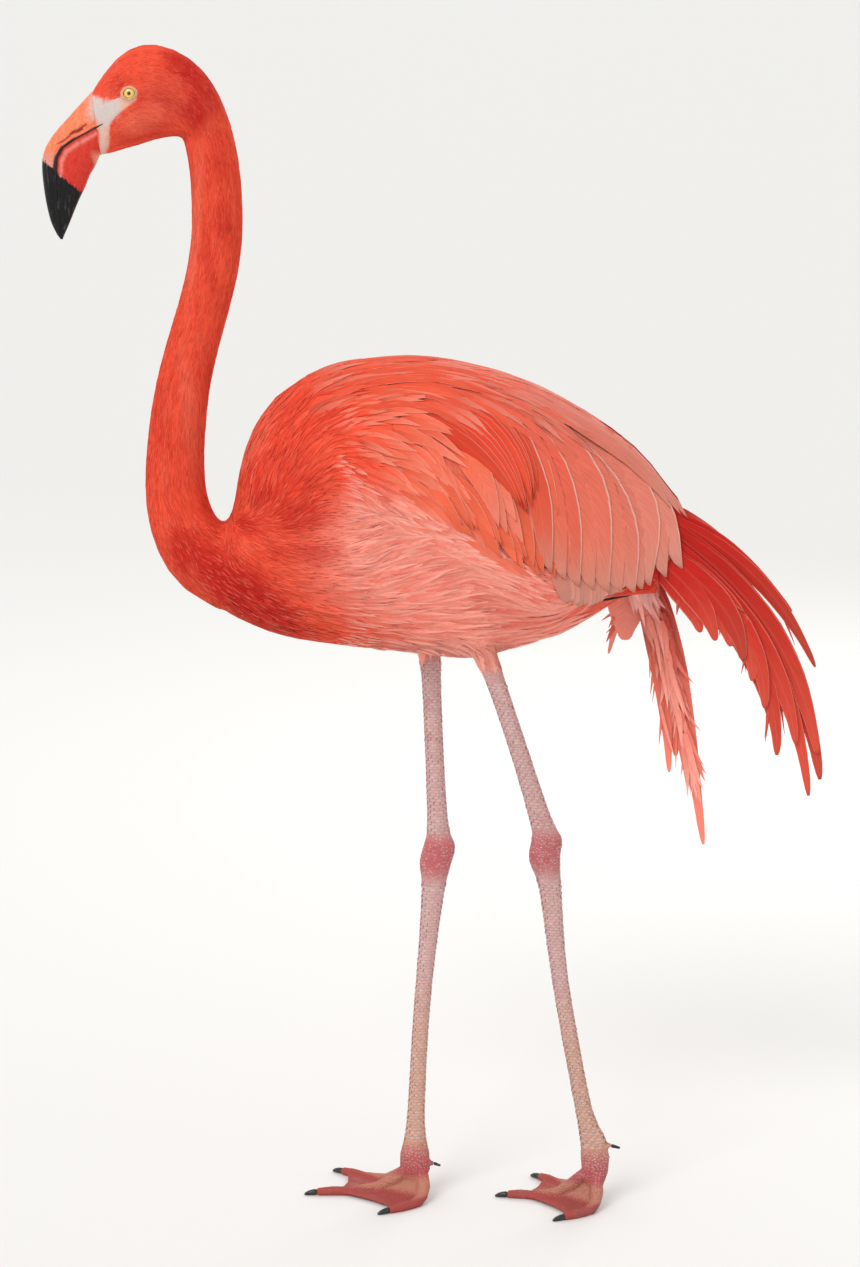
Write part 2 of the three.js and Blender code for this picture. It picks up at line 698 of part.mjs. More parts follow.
function claw(spec) {
  const { middle, radius } = toeAt(spec, 1);
  const heading = new THREE.Vector3(spec.tip[0] - spec.bend[0], spec.tip[1] - spec.bend[1], 0).normalize();
  const at = (t) => middle.clone().addScaledVector(heading, GAP + t * CLAW.length)
    .addScaledVector(UP, -CLAW.droop * t * t);
  return roundBody(6, 4, (t, across, up) => {
    const thick = radius * CLAW.thick * Math.sqrt(1 - 0.93 * t * t);
    const point = ringPoint(at, t, across * thick, up * thick, UP);
    return point.setZ(Math.max(point.z, CLAW.floor));
  });
}

function web(first, second, alongFirst, alongSecond) {
  return plate(4, 4, (t, s, face) => {
    const bow = s * (1 - s);
    const reach = 1 - WEB.scallop * bow;
    const a = toeAt(first, lerp(WEB.root, alongFirst * reach, t)).middle;
    const b = toeAt(second, lerp(WEB.root, alongSecond * reach, t)).middle;
    const point = a.lerp(b, s);
    return point.setZ(point.z + (face - 0.5) * WEB.thick - WEB.sag * bow);
  });
}

function hallux(leg, from, to, share) {
  const { x, z, length, radius } = leg.hallux;
  const [, , y] = leg.path.at(-3);
  const start = x - HALLUX.embedded;
  const at = (t) => new THREE.Vector3(lerp(start, x + length, t), y, z - HALLUX.droop * t * t);
  return roundBody(8, 3, (t, across, up) => {
    const s = lerp(from, to, t);
    const thick = radius * (1 - 0.7 * s) * share;
    return ringPoint(at, s, across * thick, up * thick, UP);
  });
}

function foot(leg) {
  const { inner, middle, outer } = leg.toes;
  const [, x, y] = leg.path.at(-1);
  const pieces = [
    legLength(leg, LEG_CUTS.tarsus[1], leg.path.at(-1)[0], 10, 3),
    toe(inner), toe(middle), toe(outer),
    web(middle, inner, WEB.alongMiddle, WEB.alongSide),
    web(middle, outer, WEB.alongMiddle, WEB.alongSide),
    hallux(leg, 0, HALLUX.clawFrom - 0.02, 1),
  ];
  const ground = new THREE.BoxGeometry(600, 600, 60).translate(x, y, -30);
  return union(pieces).subtract(solid(ground));
}

function legNodes(name, leg, clear) {
  const thigh = legLength(leg, ...LEG_CUTS.thigh, 14, 6).subtract(clear);
  const made = [
    node(`thigh_${name}`, thigh, COLOURS.plumage),
    node(`shank_${name}`, legLength(leg, ...LEG_CUTS.shank, 12, 6), COLOURS.legSkin),
    node(`hock_${name}`, legLength(leg, ...LEG_CUTS.hock, 12, 9), COLOURS.legSkin),
    node(`tarsus_${name}`, legLength(leg, ...LEG_CUTS.tarsus, 12, 9), COLOURS.legSkin),
    node(`foot_${name}`, foot(leg), COLOURS.footSkin),
    node(`claw_${name}_hind`, hallux(leg, HALLUX.clawFrom, 1, 0.92), COLOURS.claw),
  ];
  for (const [toeName, spec] of Object.entries(leg.toes)) {
    made.push(node(`claw_${name}_${toeName}`, claw(spec), COLOURS.claw));
  }
  return made;
}

// ---------------------------------------------------------------- the bird

const torsoRoom = torso(GAP);
const bill = billHalves();
const flamingo = new THREE.Group();
flamingo.name = 'flamingo';

flamingo.add(
  node('torso', torso(), COLOURS.plumage),
  node('neck_upper', neck(NECK_CUTS[0], NECK_CUTS[1]), COLOURS.plumage),
  node('neck_middle', neck(NECK_CUTS[1], NECK_CUTS[2]), COLOURS.plumage),
  node('neck_lower', neck(NECK_CUTS[2], NECK_CUTS[3]).subtract(torsoRoom), COLOURS.plumage),
  node('head', head(), COLOURS.plumage),
  node('bill_upper', bill.upper, COLOURS.billHorn),
  node('bill_lower', bill.lower, COLOURS.billHorn),
  node('eye_left', eyeball(LEFT), COLOURS.eye),
  node('eye_right', eyeball(RIGHT), COLOURS.eye),
  node('tail', tail(), COLOURS.scarlet),
);

for (const [name, side] of [['left', LEFT], ['right', RIGHT]]) {
  flamingo.add(
    node(`wing_${name}`, wing(side, torsoRoom), COLOURS.coverts),
    node(`tertials_${name}`, tertials(side).subtract(torsoRoom), COLOURS.scarlet),
    node(`primaries_${name}`, primaries(side, torsoRoom), COLOURS.primaries),
    ...legNodes(name, LEGS[name], torsoRoom),
  );
}

flamingo.add(node('tertials_right_drooping', drooping(RIGHT).subtract(torsoRoom), COLOURS.scarlet));

// The bird stands over the middle of its own box.
const box = new THREE.Box3().setFromObject(flamingo);
const centre = box.getCenter(new THREE.Vector3());
flamingo.position.set(-centre.x, -centre.y, -box.min.z);

export default flamingo;
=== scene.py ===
"""Builds a life-size standing flamingo: skin, feathers, bill, eyes, legs and a plain studio."""
import math

import bpy
import numpy as np
from bpy.props import FloatProperty, FloatVectorProperty, PointerProperty
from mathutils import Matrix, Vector
from mathutils.bvhtree import BVHTree
from mathutils.kdtree import KDTree


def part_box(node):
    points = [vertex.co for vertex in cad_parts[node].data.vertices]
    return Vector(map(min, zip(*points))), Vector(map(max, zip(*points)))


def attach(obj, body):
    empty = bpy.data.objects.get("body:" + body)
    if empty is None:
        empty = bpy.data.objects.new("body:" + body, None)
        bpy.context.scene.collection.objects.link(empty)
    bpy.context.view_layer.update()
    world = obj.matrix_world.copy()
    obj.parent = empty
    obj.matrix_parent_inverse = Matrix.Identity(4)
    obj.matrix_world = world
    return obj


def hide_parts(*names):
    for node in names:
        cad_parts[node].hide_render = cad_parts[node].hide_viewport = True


bl_info = {
    "name": "Standing Flamingo",
    "version": (1, 0, 0),
    "blender": (4, 5, 0),
    "location": "View3D > Sidebar > Flamingo",
    "description": "Builds a standing flamingo feather by feather",
    "category": "Object",
}

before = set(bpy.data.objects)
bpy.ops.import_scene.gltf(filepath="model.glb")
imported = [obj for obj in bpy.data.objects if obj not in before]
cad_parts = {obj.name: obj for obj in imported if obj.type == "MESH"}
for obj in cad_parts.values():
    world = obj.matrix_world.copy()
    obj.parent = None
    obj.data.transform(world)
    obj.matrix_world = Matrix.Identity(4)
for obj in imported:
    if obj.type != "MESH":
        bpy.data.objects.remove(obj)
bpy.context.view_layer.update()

# ---- places and sizes, in millimetres
# x runs from the mid back towards the tail, z up from the floor, y to the bird's right.

MM = 0.001
EYE_X, EYE_Z = -298.0, 1166.0
SHIFT = (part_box("eye_left")[0].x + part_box("eye_left")[1].x) / 2 / MM - EYE_X
LEFT, RIGHT = -1, 1
SIDES = (("left", LEFT), ("right", RIGHT))
WELD_GAP = 0.00002
# Side of each feather's patch on the OFBake map, and how the Vane map is shifted from one to the next.
PATCH = 0.003
GOLDEN, VANE_LOTS = 0.618034, 40
# How many roots are tried for each one that is kept.
ROOT_TRIES = 2.6

# Torso, breast to tail root: x, height of the back, height of the belly, half width.
TORSO = [
    (-224, 704, 664, 22), (-210, 732, 641, 40), (-199, 764, 633, 50), (-183, 824, 626, 60),
    (-157, 862, 615, 69), (-128, 884, 609, 73), (-100, 891, 605, 77), (-68, 891, 601, 81),
    (-20, 888, 596, 84), (40, 877, 590, 85), (90, 857, 602, 77), (140, 828, 619, 62), (180, 794, 643, 47),
    (212, 761, 663, 33), (236, 742, 680, 22),
]

# Neck, head end to breast: place along it, x and z of its middle, half depth, half width.
NECK = [
    (0, -223, 1128, 25, 20.5), (1, -217, 1100, 25.3, 20.5), (2, -214, 1064, 25.7, 20.5),
    (3, -214, 1028, 25.9, 21), (4, -219, 990, 26, 21.5), (5, -229, 951, 25.8, 22), (6, -241, 911, 26.4, 23),
    (7, -251, 870, 27.6, 24.5), (8, -257, 829, 29, 26), (9, -260, 789, 30.2, 28), (10, -258, 752, 32.4, 31),
    (11, -247, 719, 36, 35), (12, -228, 695, 40, 40), (13, -198, 682, 45, 45),
]

# Head, nape to bill: place, crown point x and z, throat point x and z, half width.
HEAD = [
    (1, -208, 1160, -251, 1123, 22), (2, -224, 1186, -262, 1122, 23.5), (3, -249, 1206, -276, 1119, 24.3),
    (4, -279, 1214, -291, 1114, 24), (5, -304, 1206, -306, 1110, 21.5), (6, -323, 1187, -319, 1106, 18),
    (7, -336.6, 1167.6, -330, 1104.6, 15),
]

# Bill, base to tip: place, culmen point x and z, lower edge point x and z, half width.
BILL = [
    (0, -337, 1167.2, -330.4, 1104, 14.6), (1, -359, 1144, -335, 1094, 14.2),
    (2, -379, 1121, -341, 1084, 14), (3, -388, 1100, -346, 1072, 12.8), (4, -387, 1070, -353, 1058, 10),
    (5, -382, 1042, -362, 1037, 6.6), (6, -376, 1027, -367.5, 1025, 3.4),
    (7, -371.6, 1020.4, -369.6, 1020, 1.2),
]
MOUTH_LINE = [
    (-325, 1136), (-338, 1129), (-354, 1120.5), (-366, 1112), (-371.5, 1102), (-373, 1089), (-372.6, 1072),
    (-372, 1052), (-371, 1035), (-370.4, 1012),
]

# Outer surface of the folded wings: x, height of the ridge, height of the widest line, half width.
FOLDED = [
    (-140, 878, 768, 84), (-106, 893, 760, 92), (-56, 902, 750, 100), (-5, 903, 746, 103),
    (46, 894, 742, 103), (96, 879, 735, 95), (147, 854, 725, 80), (198, 820, 714, 62), (224, 795, 706, 53),
    (250, 762, 698, 45), (280, 735, 690, 40),
]

# Outline of the bare skin between the eye and the bill, x and z in the side view.
BARE_FACE = [
    (-345, 1165), (-334, 1163), (-318, 1158), (-306, 1163), (-302, 1169), (-291, 1169), (-291, 1160),
    (-299, 1154), (-310, 1145), (-319, 1136), (-320, 1116), (-325, 1104), (-334, 1095), (-350, 1095),
]

# The lie of the plumage in the side view: x, z and the way that feathers point there.
LIE = [
    (62, 588, 0.3, -1), (66, 574, 0.3, -1), (8, 584, 0, -1), (8, 572, 0, -1), (-206, 746, 0.9, -0.4),
    (-197, 744, 1, 0.1), (-203, 730, 0.75, -0.66), (-196, 716, 0.8, -0.6), (-188, 764, 0.3, 0.95),
    (-174, 823, 0.45, 0.89), (-152, 856, 0.71, 0.71), (-109, 886, 0.89, 0.46), (-44, 907, 1, 0.05),
    (20, 901, 0.98, -0.2), (74, 886, 0.93, -0.37), (-164, 779, 0.3, 0.95), (-131, 764, 0.8, 0.6),
    (-110, 786, 0.86, 0.51), (-131, 797, 0.6, 0.8), (-142, 819, 0.51, 0.86), (-109, 819, 0.76, 0.65),
    (-88, 840, 0.86, 0.51), (-44, 866, 0.99, 0.15), (-208, 720, 0.6, -0.8), (-176, 665, 0.89, -0.45),
    (-132, 643, 0.97, -0.24), (-67, 625, 0.99, -0.12), (-1, 620, 1, -0.1), (64, 632, 1, 0),
    (-169, 720, 0.95, -0.3), (-132, 709, 0.99, -0.16), (-110, 731, 0.99, 0.1), (-110, 698, 1, 0.05),
    (-88, 775, 0.99, -0.1), (-62, 738, 0.92, 0.4), (-45, 716, 0.86, 0.5), (-10, 716, 0.86, 0.5),
    (-35, 688, 0.92, 0.38), (20, 690, 0.88, 0.47), (-23, 668, 0.98, 0.18), (35, 662, 0.97, 0.24),
    (-67, 660, 1, 0), (20, 640, 1, 0.06), (-62, 772, 0.88, -0.48), (-30, 755, 0.8, -0.3),
    (10, 730, 0.85, -0.2), (50, 702, 0.84, -0.3), (78, 682, 0.84, -0.5), (100, 668, 0.86, -0.5),
    (95, 640, 1, 0.1), (130, 640, 0.97, 0.2), (180, 800, 0.8, -0.6), (220, 760, 0.8, -0.6),
    (170, 660, 0.95, 0.3), (-245, 700, 0.45, -0.89), (-66, 800, 0.93, -0.36), (-44, 821, 0.95, -0.3),
    (-23, 832, 0.89, -0.45), (9, 821, 0.65, -0.76), (20, 800, 0.6, -0.8), (-87, 826, 0.99, -0.11),
    (-23, 865, 0.99, -0.15), (20, 865, 0.86, -0.51), (52, 832, 0.6, -0.8), (74, 811, 0.45, -0.89),
    (-66, 821, 0.97, -0.25), (-23, 789, 0.82, -0.57), (-1, 767, 0.77, -0.64), (31, 756, 0.6, -0.8),
    (63, 734, 0.5, -0.86),
]

# Size of the body feathers by place in the side view: x, z, length, width, depth of the coat.
COAT = [
    (-320, 1108, 5, 0.9, 0.5), (-298, 1190, 5.5, 1, 0.5), (-262, 1160, 7, 1.1, 0.6),
    (-225, 1130, 9, 1.1, 0.7), (-215, 1060, 10, 1.15, 0.8), (-219, 990, 10, 1.15, 0.8),
    (-241, 911, 11, 1.2, 0.9), (-257, 829, 12, 1.3, 1), (-260, 770, 12, 1.4, 1), (-250, 720, 12, 1.5, 1.1),
    (-215, 680, 13, 1.7, 1.1), (-180, 640, 16, 2.1, 1.2), (-150, 740, 15, 1.7, 1.1),
    (-110, 730, 18, 2.1, 1.2), (-165, 800, 26, 2.4, 1.1), (-130, 860, 44, 3.6, 1.2),
    (-80, 890, 56, 4.4, 1.3), (-100, 620, 24, 2.8, 1.4), (0, 600, 36, 3.6, 1.6), (80, 620, 44, 4.4, 1.7),
    (140, 640, 46, 5, 1.8), (180, 760, 40, 6, 2), (220, 730, 36, 6, 2), (-30, 850, 36, 5, 1.6),
    (-60, 800, 26, 4, 1.4), (-90, 800, 20, 2.8, 1.2), (-60, 680, 42, 3.8, 1.6), (62, 590, 10, 2.2, 0.4),
    (8, 590, 10, 2.2, 0.4),
]

# Patches of the plumage: x, z, reach along, reach across, turn in degrees, colour and strength.
MARKS = [
    (-60, 700, 95, 75, 0, "coral", 0.5), (40, 690, 150, 95, -12, "flank_pink", 0.9),
    (-30, 720, 66, 50, -20, "flank_pink", 0.7), (60, 606, 70, 34, 0, "flank_pink", 0.8),
    (-190, 668, 88, 34, -34, "deep_red", 1), (-165, 650, 50, 20, -30, "deep_red", 0.8),
    (-245, 705, 30, 22, -60, "deep_red", 0.7), (-150, 628, 50, 14, -12, "deep_red", 0.6),
    (-164, 776, 19, 13, 30, "deep_red", 0.75), (-180, 738, 18, 16, 0, "deep_red", 0.8),
    (-118, 752, 36, 22, 10, "deep_red", 0.6), (-112, 712, 46, 14, 5, "deep_red", 0.5),
    (-239, 1187, 36, 15, -42, "deep_red", 1), (-226, 1150, 20, 30, -20, "deep_red", 1),
    (-252, 1152, 22, 8, -30, "deep_red", 0.5), (-286, 1128, 32, 10, 18, "deep_red", 0.45),
    (-262, 1160, 34, 28, -30, "foot", 0.28), (-310, 1176, 8, 14, -30, "deep_red", 0.5),
    (-212, 1105, 12, 40, 0, "deep_red", 0.4), (-208, 1036, 10, 26, 0, "deep_red", 0.5),
    (-222, 1000, 8, 60, 10, "deep_red", 0.35), (-268, 820, 10, 80, 6, "deep_red", 0.3),
    (-285, 1140, 30, 16, 20, "coral", 0.8), (-236, 1030, 8, 90, -6, "coral", 0.75),
    (-243, 850, 11, 80, 8, "coral", 0.45), (20, 598, 110, 18, 0, "underside", 0.9),
    (66, 582, 32, 32, 0, "hem", 0.85), (8, 580, 22, 24, 0, "hem", 0.7),
    (-150, 784, 52, 66, 0, "deep_red", 0.34), (-95, 862, 60, 30, 20, "deep_red", 0.26),
    (-168, 838, 52, 14, 58, "coral", 0.5), (234, 690, 34, 32, 0, "deep_red", 0.95),
]

# Where the columns of a broad feather stand across it, so that its edges can be thin lines.
CRISP = np.array([-1, -0.93, -0.86, -0.45, 0, 0.45, 0.86, 0.93, 1])
BROAD = len(CRISP)


def srgb(red, green, blue):
    """A colour given as it looks on a screen, 0 to 255, as the linear values that shaders take."""
    return tuple(
        ((c / 255 + 0.055) / 1.055) ** 2.4 if c > 10 else c / 255 / 12.92
        for c in (red, green, blue)
    )


# ---- settings


def colour_setting(name, description, *shade):
    return FloatVectorProperty(
        name=name, description=description, default=srgb(*shade), subtype="COLOR", min=0, max=1, size=3
    )


class FlamingoSettings(bpy.types.PropertyGroup):
    """Colours and sizes of the flamingo."""

    vermilion: colour_setting("Vermilion", "Neck, head and shoulders", 230, 74, 47)
    coral: colour_setting("Coral", "Lighter places of the neck and breast", 236, 106, 80)
    deep_red: colour_setting("Deep red", "Nape, breast and feather roots", 182, 8, 4)
    flank_pink: colour_setting("Flank pink", "Soft feathers of the flank and belly", 248, 172, 156)
    wing_orange: colour_setting("Wing orange", "Upper wing feathers", 217, 68, 40)
    wing_salmon: colour_setting("Wing salmon", "Lower wing feathers", 224, 101, 71)
    wing_rose: colour_setting("Wing rose", "Rear wing feathers", 210, 120, 103)
    pale_edge: colour_setting("Pale edge", "Edges of the wing feathers", 232, 178, 162)
    hem: colour_setting("Hem", "Greyish tips of the rear wing feathers", 196, 133, 117)
    downy: colour_setting("Downy pink", "Loose down under the rear", 244, 158, 142)
    lid: colour_setting("Eyelid", "Ring of skin round the eye", 228, 178, 146)
    scarlet: colour_setting("Scarlet", "Trailing plumes", 199, 63, 49)
    underside: colour_setting("Underside", "Greyish tips under the belly", 196, 140, 128)
    face: colour_setting("Face", "Bare skin before the eye", 202, 188, 183)
    leg: colour_setting("Leg", "Scaly skin of the legs", 200, 155, 151)
    hock: colour_setting("Hock", "Skin of the ankle joints", 184, 82, 88)
    shin: colour_setting("Shin", "Lower legs and tops of the toes", 196, 146, 116)
    foot: colour_setting("Foot", "Toes and webs", 154, 56, 56)
    bill: colour_setting("Bill", "Base of the bill", 232, 120, 84)
    lower_bill: colour_setting("Lower bill", "Side of the lower bill", 210, 56, 42)
    horn: colour_setting("Horn", "Tip of the bill, claws and primaries", 17, 16, 17)
    iris: colour_setting("Iris", "Ring of the eye", 240, 196, 84)
    floor: colour_setting("Floor", "Floor and backdrop", 226, 226, 224)
    skin_voxel: FloatProperty(
        name="Skin detail", description="Cell size of the skin", default=0.0015, unit="LENGTH"
    )
    camera_lens: FloatProperty(name="Lens", description="Focal length", default=92.8, unit="CAMERA")


def colours(*names):
    """Colours of the settings by name: one as it is, more as a list."""
    found = [np.array(getattr(bpy.context.scene.flamingo, name)[:]) for name in names]
    return found if len(names) > 1 else found[0]


# ---- curves, tables and small sums


def between(rows):
    """Reads a table smoothly between its rows. The first number of each row is its key."""
    rows = np.array(rows, float)
    index = np.arange(len(rows))
    before, after = rows[np.maximum(index - 1, 0)], rows[np.minimum(index + 1, len(rows) - 1)]
    slopes = (after - before) / (after[:, :1] - before[:, :1])

    def value_at(key):
        k = np.clip(np.asarray(key, float), rows[0, 0], rows[-1, 0])
        i = np.clip(np.searchsorted(rows[:, 0], k), 1, len(rows) - 1)
        span = (rows[i, 0] - rows[i - 1, 0])[..., None]
        s = (k - rows[i - 1, 0])[..., None] / span
        near = s * s * (3 - 2 * s)
        leave, arrive = s * (1 - s) ** 2 * span, s * s * (s - 1) * span
        return rows[i - 1] + (rows[i] - rows[i - 1]) * near + leave * slopes[i - 1] + arrive * slopes[i]

    return value_at


torso_at, bill_at, folded_at = between(TORSO), between(BILL), between(FOLDED)


def smooth(low, high, value):
    share = np.clip((value - low) / (high - low), 0, 1)
    return share * share * (3 - 2 * share)


def unit(vectors):
    return vectors / np.maximum(np.linalg.norm(vectors, axis=-1, keepdims=True), 1e-9)


def mix(a, b, share):
    return a + (b - a) * share


def bezier(root, bend, tip, t):
    return mix(mix(root, bend, t), mix(bend, tip, t), t)


def square_to(vectors, others):
    """Vectors turned square to others, one unit long."""
    return unit(vectors - others * (vectors * others).sum(-1, keepdims=True))


def blend(colour, other, share):
    """Colours mixed with another one, given by name or value. Each has a share of its own."""
    return mix(colour, colours(other) if isinstance(other, str) else other, np.asarray(share)[..., None])


def across(columns):
    """Where a feather's columns stand across it, from -1 to 1."""
    return CRISP if columns == BROAD else np.linspace(-1, 1, columns)


def weighted(rows, points, softness=9.0):
    """Values of a table at points of the side view, each row weighing more the nearer it is."""
    rows = np.array(rows, float)
    away = ((points[:, None, 0] - rows[None, :, 0]) ** 2 + (points[:, None, 2] - rows[None, :, 1]) ** 2)
    weight = 1 / (away + softness**2) ** 2
    weight /= weight.sum(1, keepdims=True)
    return weight @ rows[:, 2:]


NECK_LINE = [((r[1] + r[3]) / 2, (r[2] + r[4]) / 2) for r in reversed(HEAD)] + [r[1:3] for r in NECK[:-1]]


def neck_lie():
    """The plumage of the head and neck points from the bill over the head and down the neck."""
    ahead = np.diff(NECK_LINE, axis=0, append=[NECK[-1][1:3]])
    ahead /= np.linalg.norm(ahead, axis=1, keepdims=True)
    return [(*m, *a) for m, a in zip(NECK_LINE, ahead)]


LIE_ALL = LIE + neck_lie()


def lie_at(points):
    """The way that the plumage points at points of the body, not yet laid on the surface."""
    flat = weighted(LIE_ALL, points)
    return unit(np.stack([flat[:, 0], np.zeros(len(points)), flat[:, 1]], 1))


def coat_at(points):
    """Length and width of the feathers and depth of the coat at points of the body."""
    return weighted(COAT, points, 14.0).T


def speckle(points, size, seed):
    """Smooth patches over the body, about size apart, mostly from 0 to 1."""
    draw = np.random.default_rng(seed)
    total = np.zeros(len(points))
    for _ in range(7):
        way = unit(draw.normal(size=3)) * 2 * math.pi / (size * draw.uniform(0.7, 1.6))
        total += np.sin(points @ way + draw.uniform(0, 6.28))
    return 0.5 + total / 8


def plumage_colour(points):
    """Colour of the plumage at points of the body: vermilion with deeper and paler places."""
    found = alike(colours("vermilion"), len(points))
    for x, z, along, aside, turn, name, strength in MARKS:
        c, s = math.cos(math.radians(turn)), math.sin(math.radians(turn))
        dx, dz = points[:, 0] - x, points[:, 2] - z
        away = np.hypot((dx * c + dz * s) / along, (dz * c - dx * s) / aside)
        found = blend(found, name, strength * smooth(1.25, 0.35, away))
    patch, fleck = speckle(points, 26, 5), speckle(points, 7, 6)
    found = blend(found, "deep_red", 0.2 * smooth(0.45, 1.1, patch))
    found = blend(found, "deep_red", 0.22 * smooth(0.6, 1.1, fleck))
    return blend(found, "coral", 0.22 * smooth(0.5, -0.1, patch))


# ---- meshes from arrays


def to_metres(points):
    return (np.asarray(points, float) + (SHIFT, 0, 0)) * MM


def write(items, name, values, kind=np.float32):
    """Sets one property of all corners or faces of a mesh."""
    items.foreach_set(name, np.asarray(values, kind).ravel())


def read(items, name, kind=np.float32):
    """One property of all corners or faces of a mesh, three numbers to a row."""
    flat = np.zeros(len(items) * 3, kind)
    items.foreach_get(name, flat)
    return flat.reshape(-1, 3)


def move_corners(made, points):
    """Moves the corners of a mesh to these places."""
    write(made.data.vertices, "co", to_metres(points))
    made.data.update()


def paint(made, tint):
    """Gives a mesh its Tint map, a colour for each corner."""
    attribute = made.data.color_attributes.new("Tint", "FLOAT_COLOR", "POINT")
    write(attribute.data, "color", np.insert(tint, 3, 1, axis=1))


def dress(made, slot, *finishes, replaced=()):
    """Gives a piece its materials, hangs it on the root and hides the nodes that it stands for. The slot is
    not used.
    """
    made.data.materials.clear()
    for finish in finishes:
        made.data.materials.append(bpy.data.materials[finish])
    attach(made, "root")
    if replaced:
        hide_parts(*replaced)
    return made


def mesh_object(name, points, faces, tint=None, layers=None, flat=None, normals=None):
    """An object from corner places in millimetres. Faces are rows of corner numbers, -1 for none."""
    mesh = bpy.data.meshes.new(name)
    used = faces >= 0
    totals = used.sum(1)
    corners = faces[used]
    mesh.vertices.add(len(points))
    write(mesh.vertices, "co", to_metres(points))
    mesh.loops.add(len(corners))
    write(mesh.loops, "vertex_index", corners, np.int32)
    mesh.polygons.add(len(faces))
    write(mesh.polygons, "loop_start", np.cumsum(totals) - totals, np.int32)
    write(mesh.polygons, "use_smooth", np.ones(len(faces)) if flat is None else ~flat, bool)
    mesh.update(calc_edges=True)
    made = bpy.data.objects.new(name, mesh)
    bpy.context.scene.collection.objects.link(made)
    for layer, values in (layers or {}).items():
        write(mesh.uv_layers.new(name=layer).data, "uv", values[corners])
    if tint is not None:
        paint(made, tint)
    mesh.validate()
    if normals is not None:
        ways = normals[corners]
        ways[np.repeat(flat, totals)] = 0
        mesh.normals_split_custom_set(ways.tolist())
    return made


def tube_faces(rings, sides, turned=False):
    """Faces of a tube of rings whose points run all the way round, with its ends filled. Turned
    tubes have rings that run the other way."""
    i, j = np.meshgrid(np.arange(rings - 1), np.arange(sides), indexing="ij")
    a, b = i * sides + j, i * sides + (j + 1) % sides
    quads = [a, a + sides, b + sides, b] if turned else [a, b, b + sides, a + sides]
    faces = np.full((a.size + 2, sides), -1)
    faces[:-2, :4] = np.stack(quads, -1).reshape(-1, 4)
    forward, back = np.arange(sides), np.arange(sides)[::-1]
    faces[-2] = forward if turned else back
    faces[-1] = (back if turned else forward) + (rings - 1) * sides
    return faces


def blade_faces(rings, sides, columns, pointed):
    """One closed blade: a domed top, its underside and its ends. Gives faces, and which are flat."""
    full = rings - 1 if pointed else rings
    tip = full * sides
    faces, flat = [], []

    def add(corners, is_flat):
        faces.append(list(corners) + [-1] * (max(sides, 4) - len(corners)))
        flat.append(is_flat)

    for i in range(full - 1):
        a, b = i * sides, (i + 1) * sides
        for j in range(sides):
            k = (j + 1) % sides
            add((a + j, a + k, b + k, b + j), j >= columns - 1)
    add(range(sides - 1, -1, -1), True)
    end = (full - 1) * sides
    if pointed:
        for j in range(sides):
            add((end + j, end + (j + 1) % sides, tip), j >= columns - 1)
    else:
        add(range(end, end + sides), True)
    return np.array(faces), np.array(flat)


def blade_normals(tops, ups, softness):
    """Ways out of each blade, blended with those of the body under it, so that the coat looks soft."""
    own = unit(np.cross(np.gradient(tops, axis=2), np.gradient(tops, axis=1)))
    own *= np.sign((own * ups).sum(-1, keepdims=True))
    return unit(mix(own, ups, softness))


def lined(rings):
    """Rings of blades run on round their undersides: the inner columns again, from last to first."""
    return np.concatenate([rings, rings[:, :, -2:0:-1]], 2)


def blades(name, tops, tint, root_uv, ups=None, softness=None, flip=False, lining=None):
    """Many closed blades as one mesh. Tops has the places of each blade's rings from root to tip.
    The underside is flat, or follows the top as far inwards as the lining says. With a softness,
    blades end in a point and take on the ways out of the body."""
    pointed = softness is not None
    normals = blade_normals(tops, ups[:, :, None], softness) if pointed else None
    columns = tops.shape[2]
    sides = across(columns)
    if lining is not None:
        tops, tint = lined(tops), lined(tint)
        tops[:, :, columns:] += lining
        sides = np.concatenate([sides, sides[-2:0:-1]])
    count, rings, around, _ = tops.shape
    faces, flat = blade_faces(rings, around, columns, pointed)
    if flip:
        faces = np.array([[*face[face >= 0][::-1], *face[face < 0]] for face in faces])
    keep = rings * around
    order = list(range(keep))
    if pointed:
        keep = (rings - 1) * around + 1
        order = [*range(keep - 1), keep - 1 + columns // 2]

    def listed(values):
        return values.reshape(count, -1, 3)[:, order].reshape(-1, 3)

    u, v = np.meshgrid(sides / 2 + 0.5, np.linspace(0, 1, rings))
    vane = np.stack([u.ravel(), v.ravel()], 1)[order]
    shifted = faces[None] + np.arange(count)[:, None, None] * keep
    shifted[np.broadcast_to(faces[None] < 0, shifted.shape)] = -1
    shifts = np.floor((np.arange(count) * GOLDEN) % 1 * VANE_LOTS)
    vanes = np.tile(vane, (count, 1, 1))
    vanes[..., 1] += shifts[:, None]
    bake = root_uv[:, None] + (vane[None] - 0.5) * PATCH
    return mesh_object(
        name, listed(tops), shifted.reshape(-1, faces.shape[1]), listed(tint),
        {"Vane": vanes.reshape(-1, 2), "OFBake": bake.reshape(-1, 2)}, np.tile(flat, count),
        listed(normals) if pointed else None,
    )


def blade_tint(base, tip, edge, rings, columns, tip_from=0.45, edge_strength=0.5, front=1.0):
    """Colours over a blade: its base, its tip and its two edges, for many blades at once."""
    v, s = np.linspace(0, 1, rings)[:, None], across(columns)[None, :]
    to_tip = (smooth(tip_from, 1.0, v) * np.ones_like(s))[None, :, :, None]
    line = smooth(0.87, 0.92, np.abs(s)) if columns == BROAD else np.abs(s) ** 2.5
    line = line * np.where(s < 0, front, 1.0)
    to_edge = (edge_strength * line * smooth(0, 0.4, v))[None, :, :, None]
    found = mix(base[:, None, None], tip[:, None, None], to_tip)
    return mix(found, edge[:, None, None], to_edge)


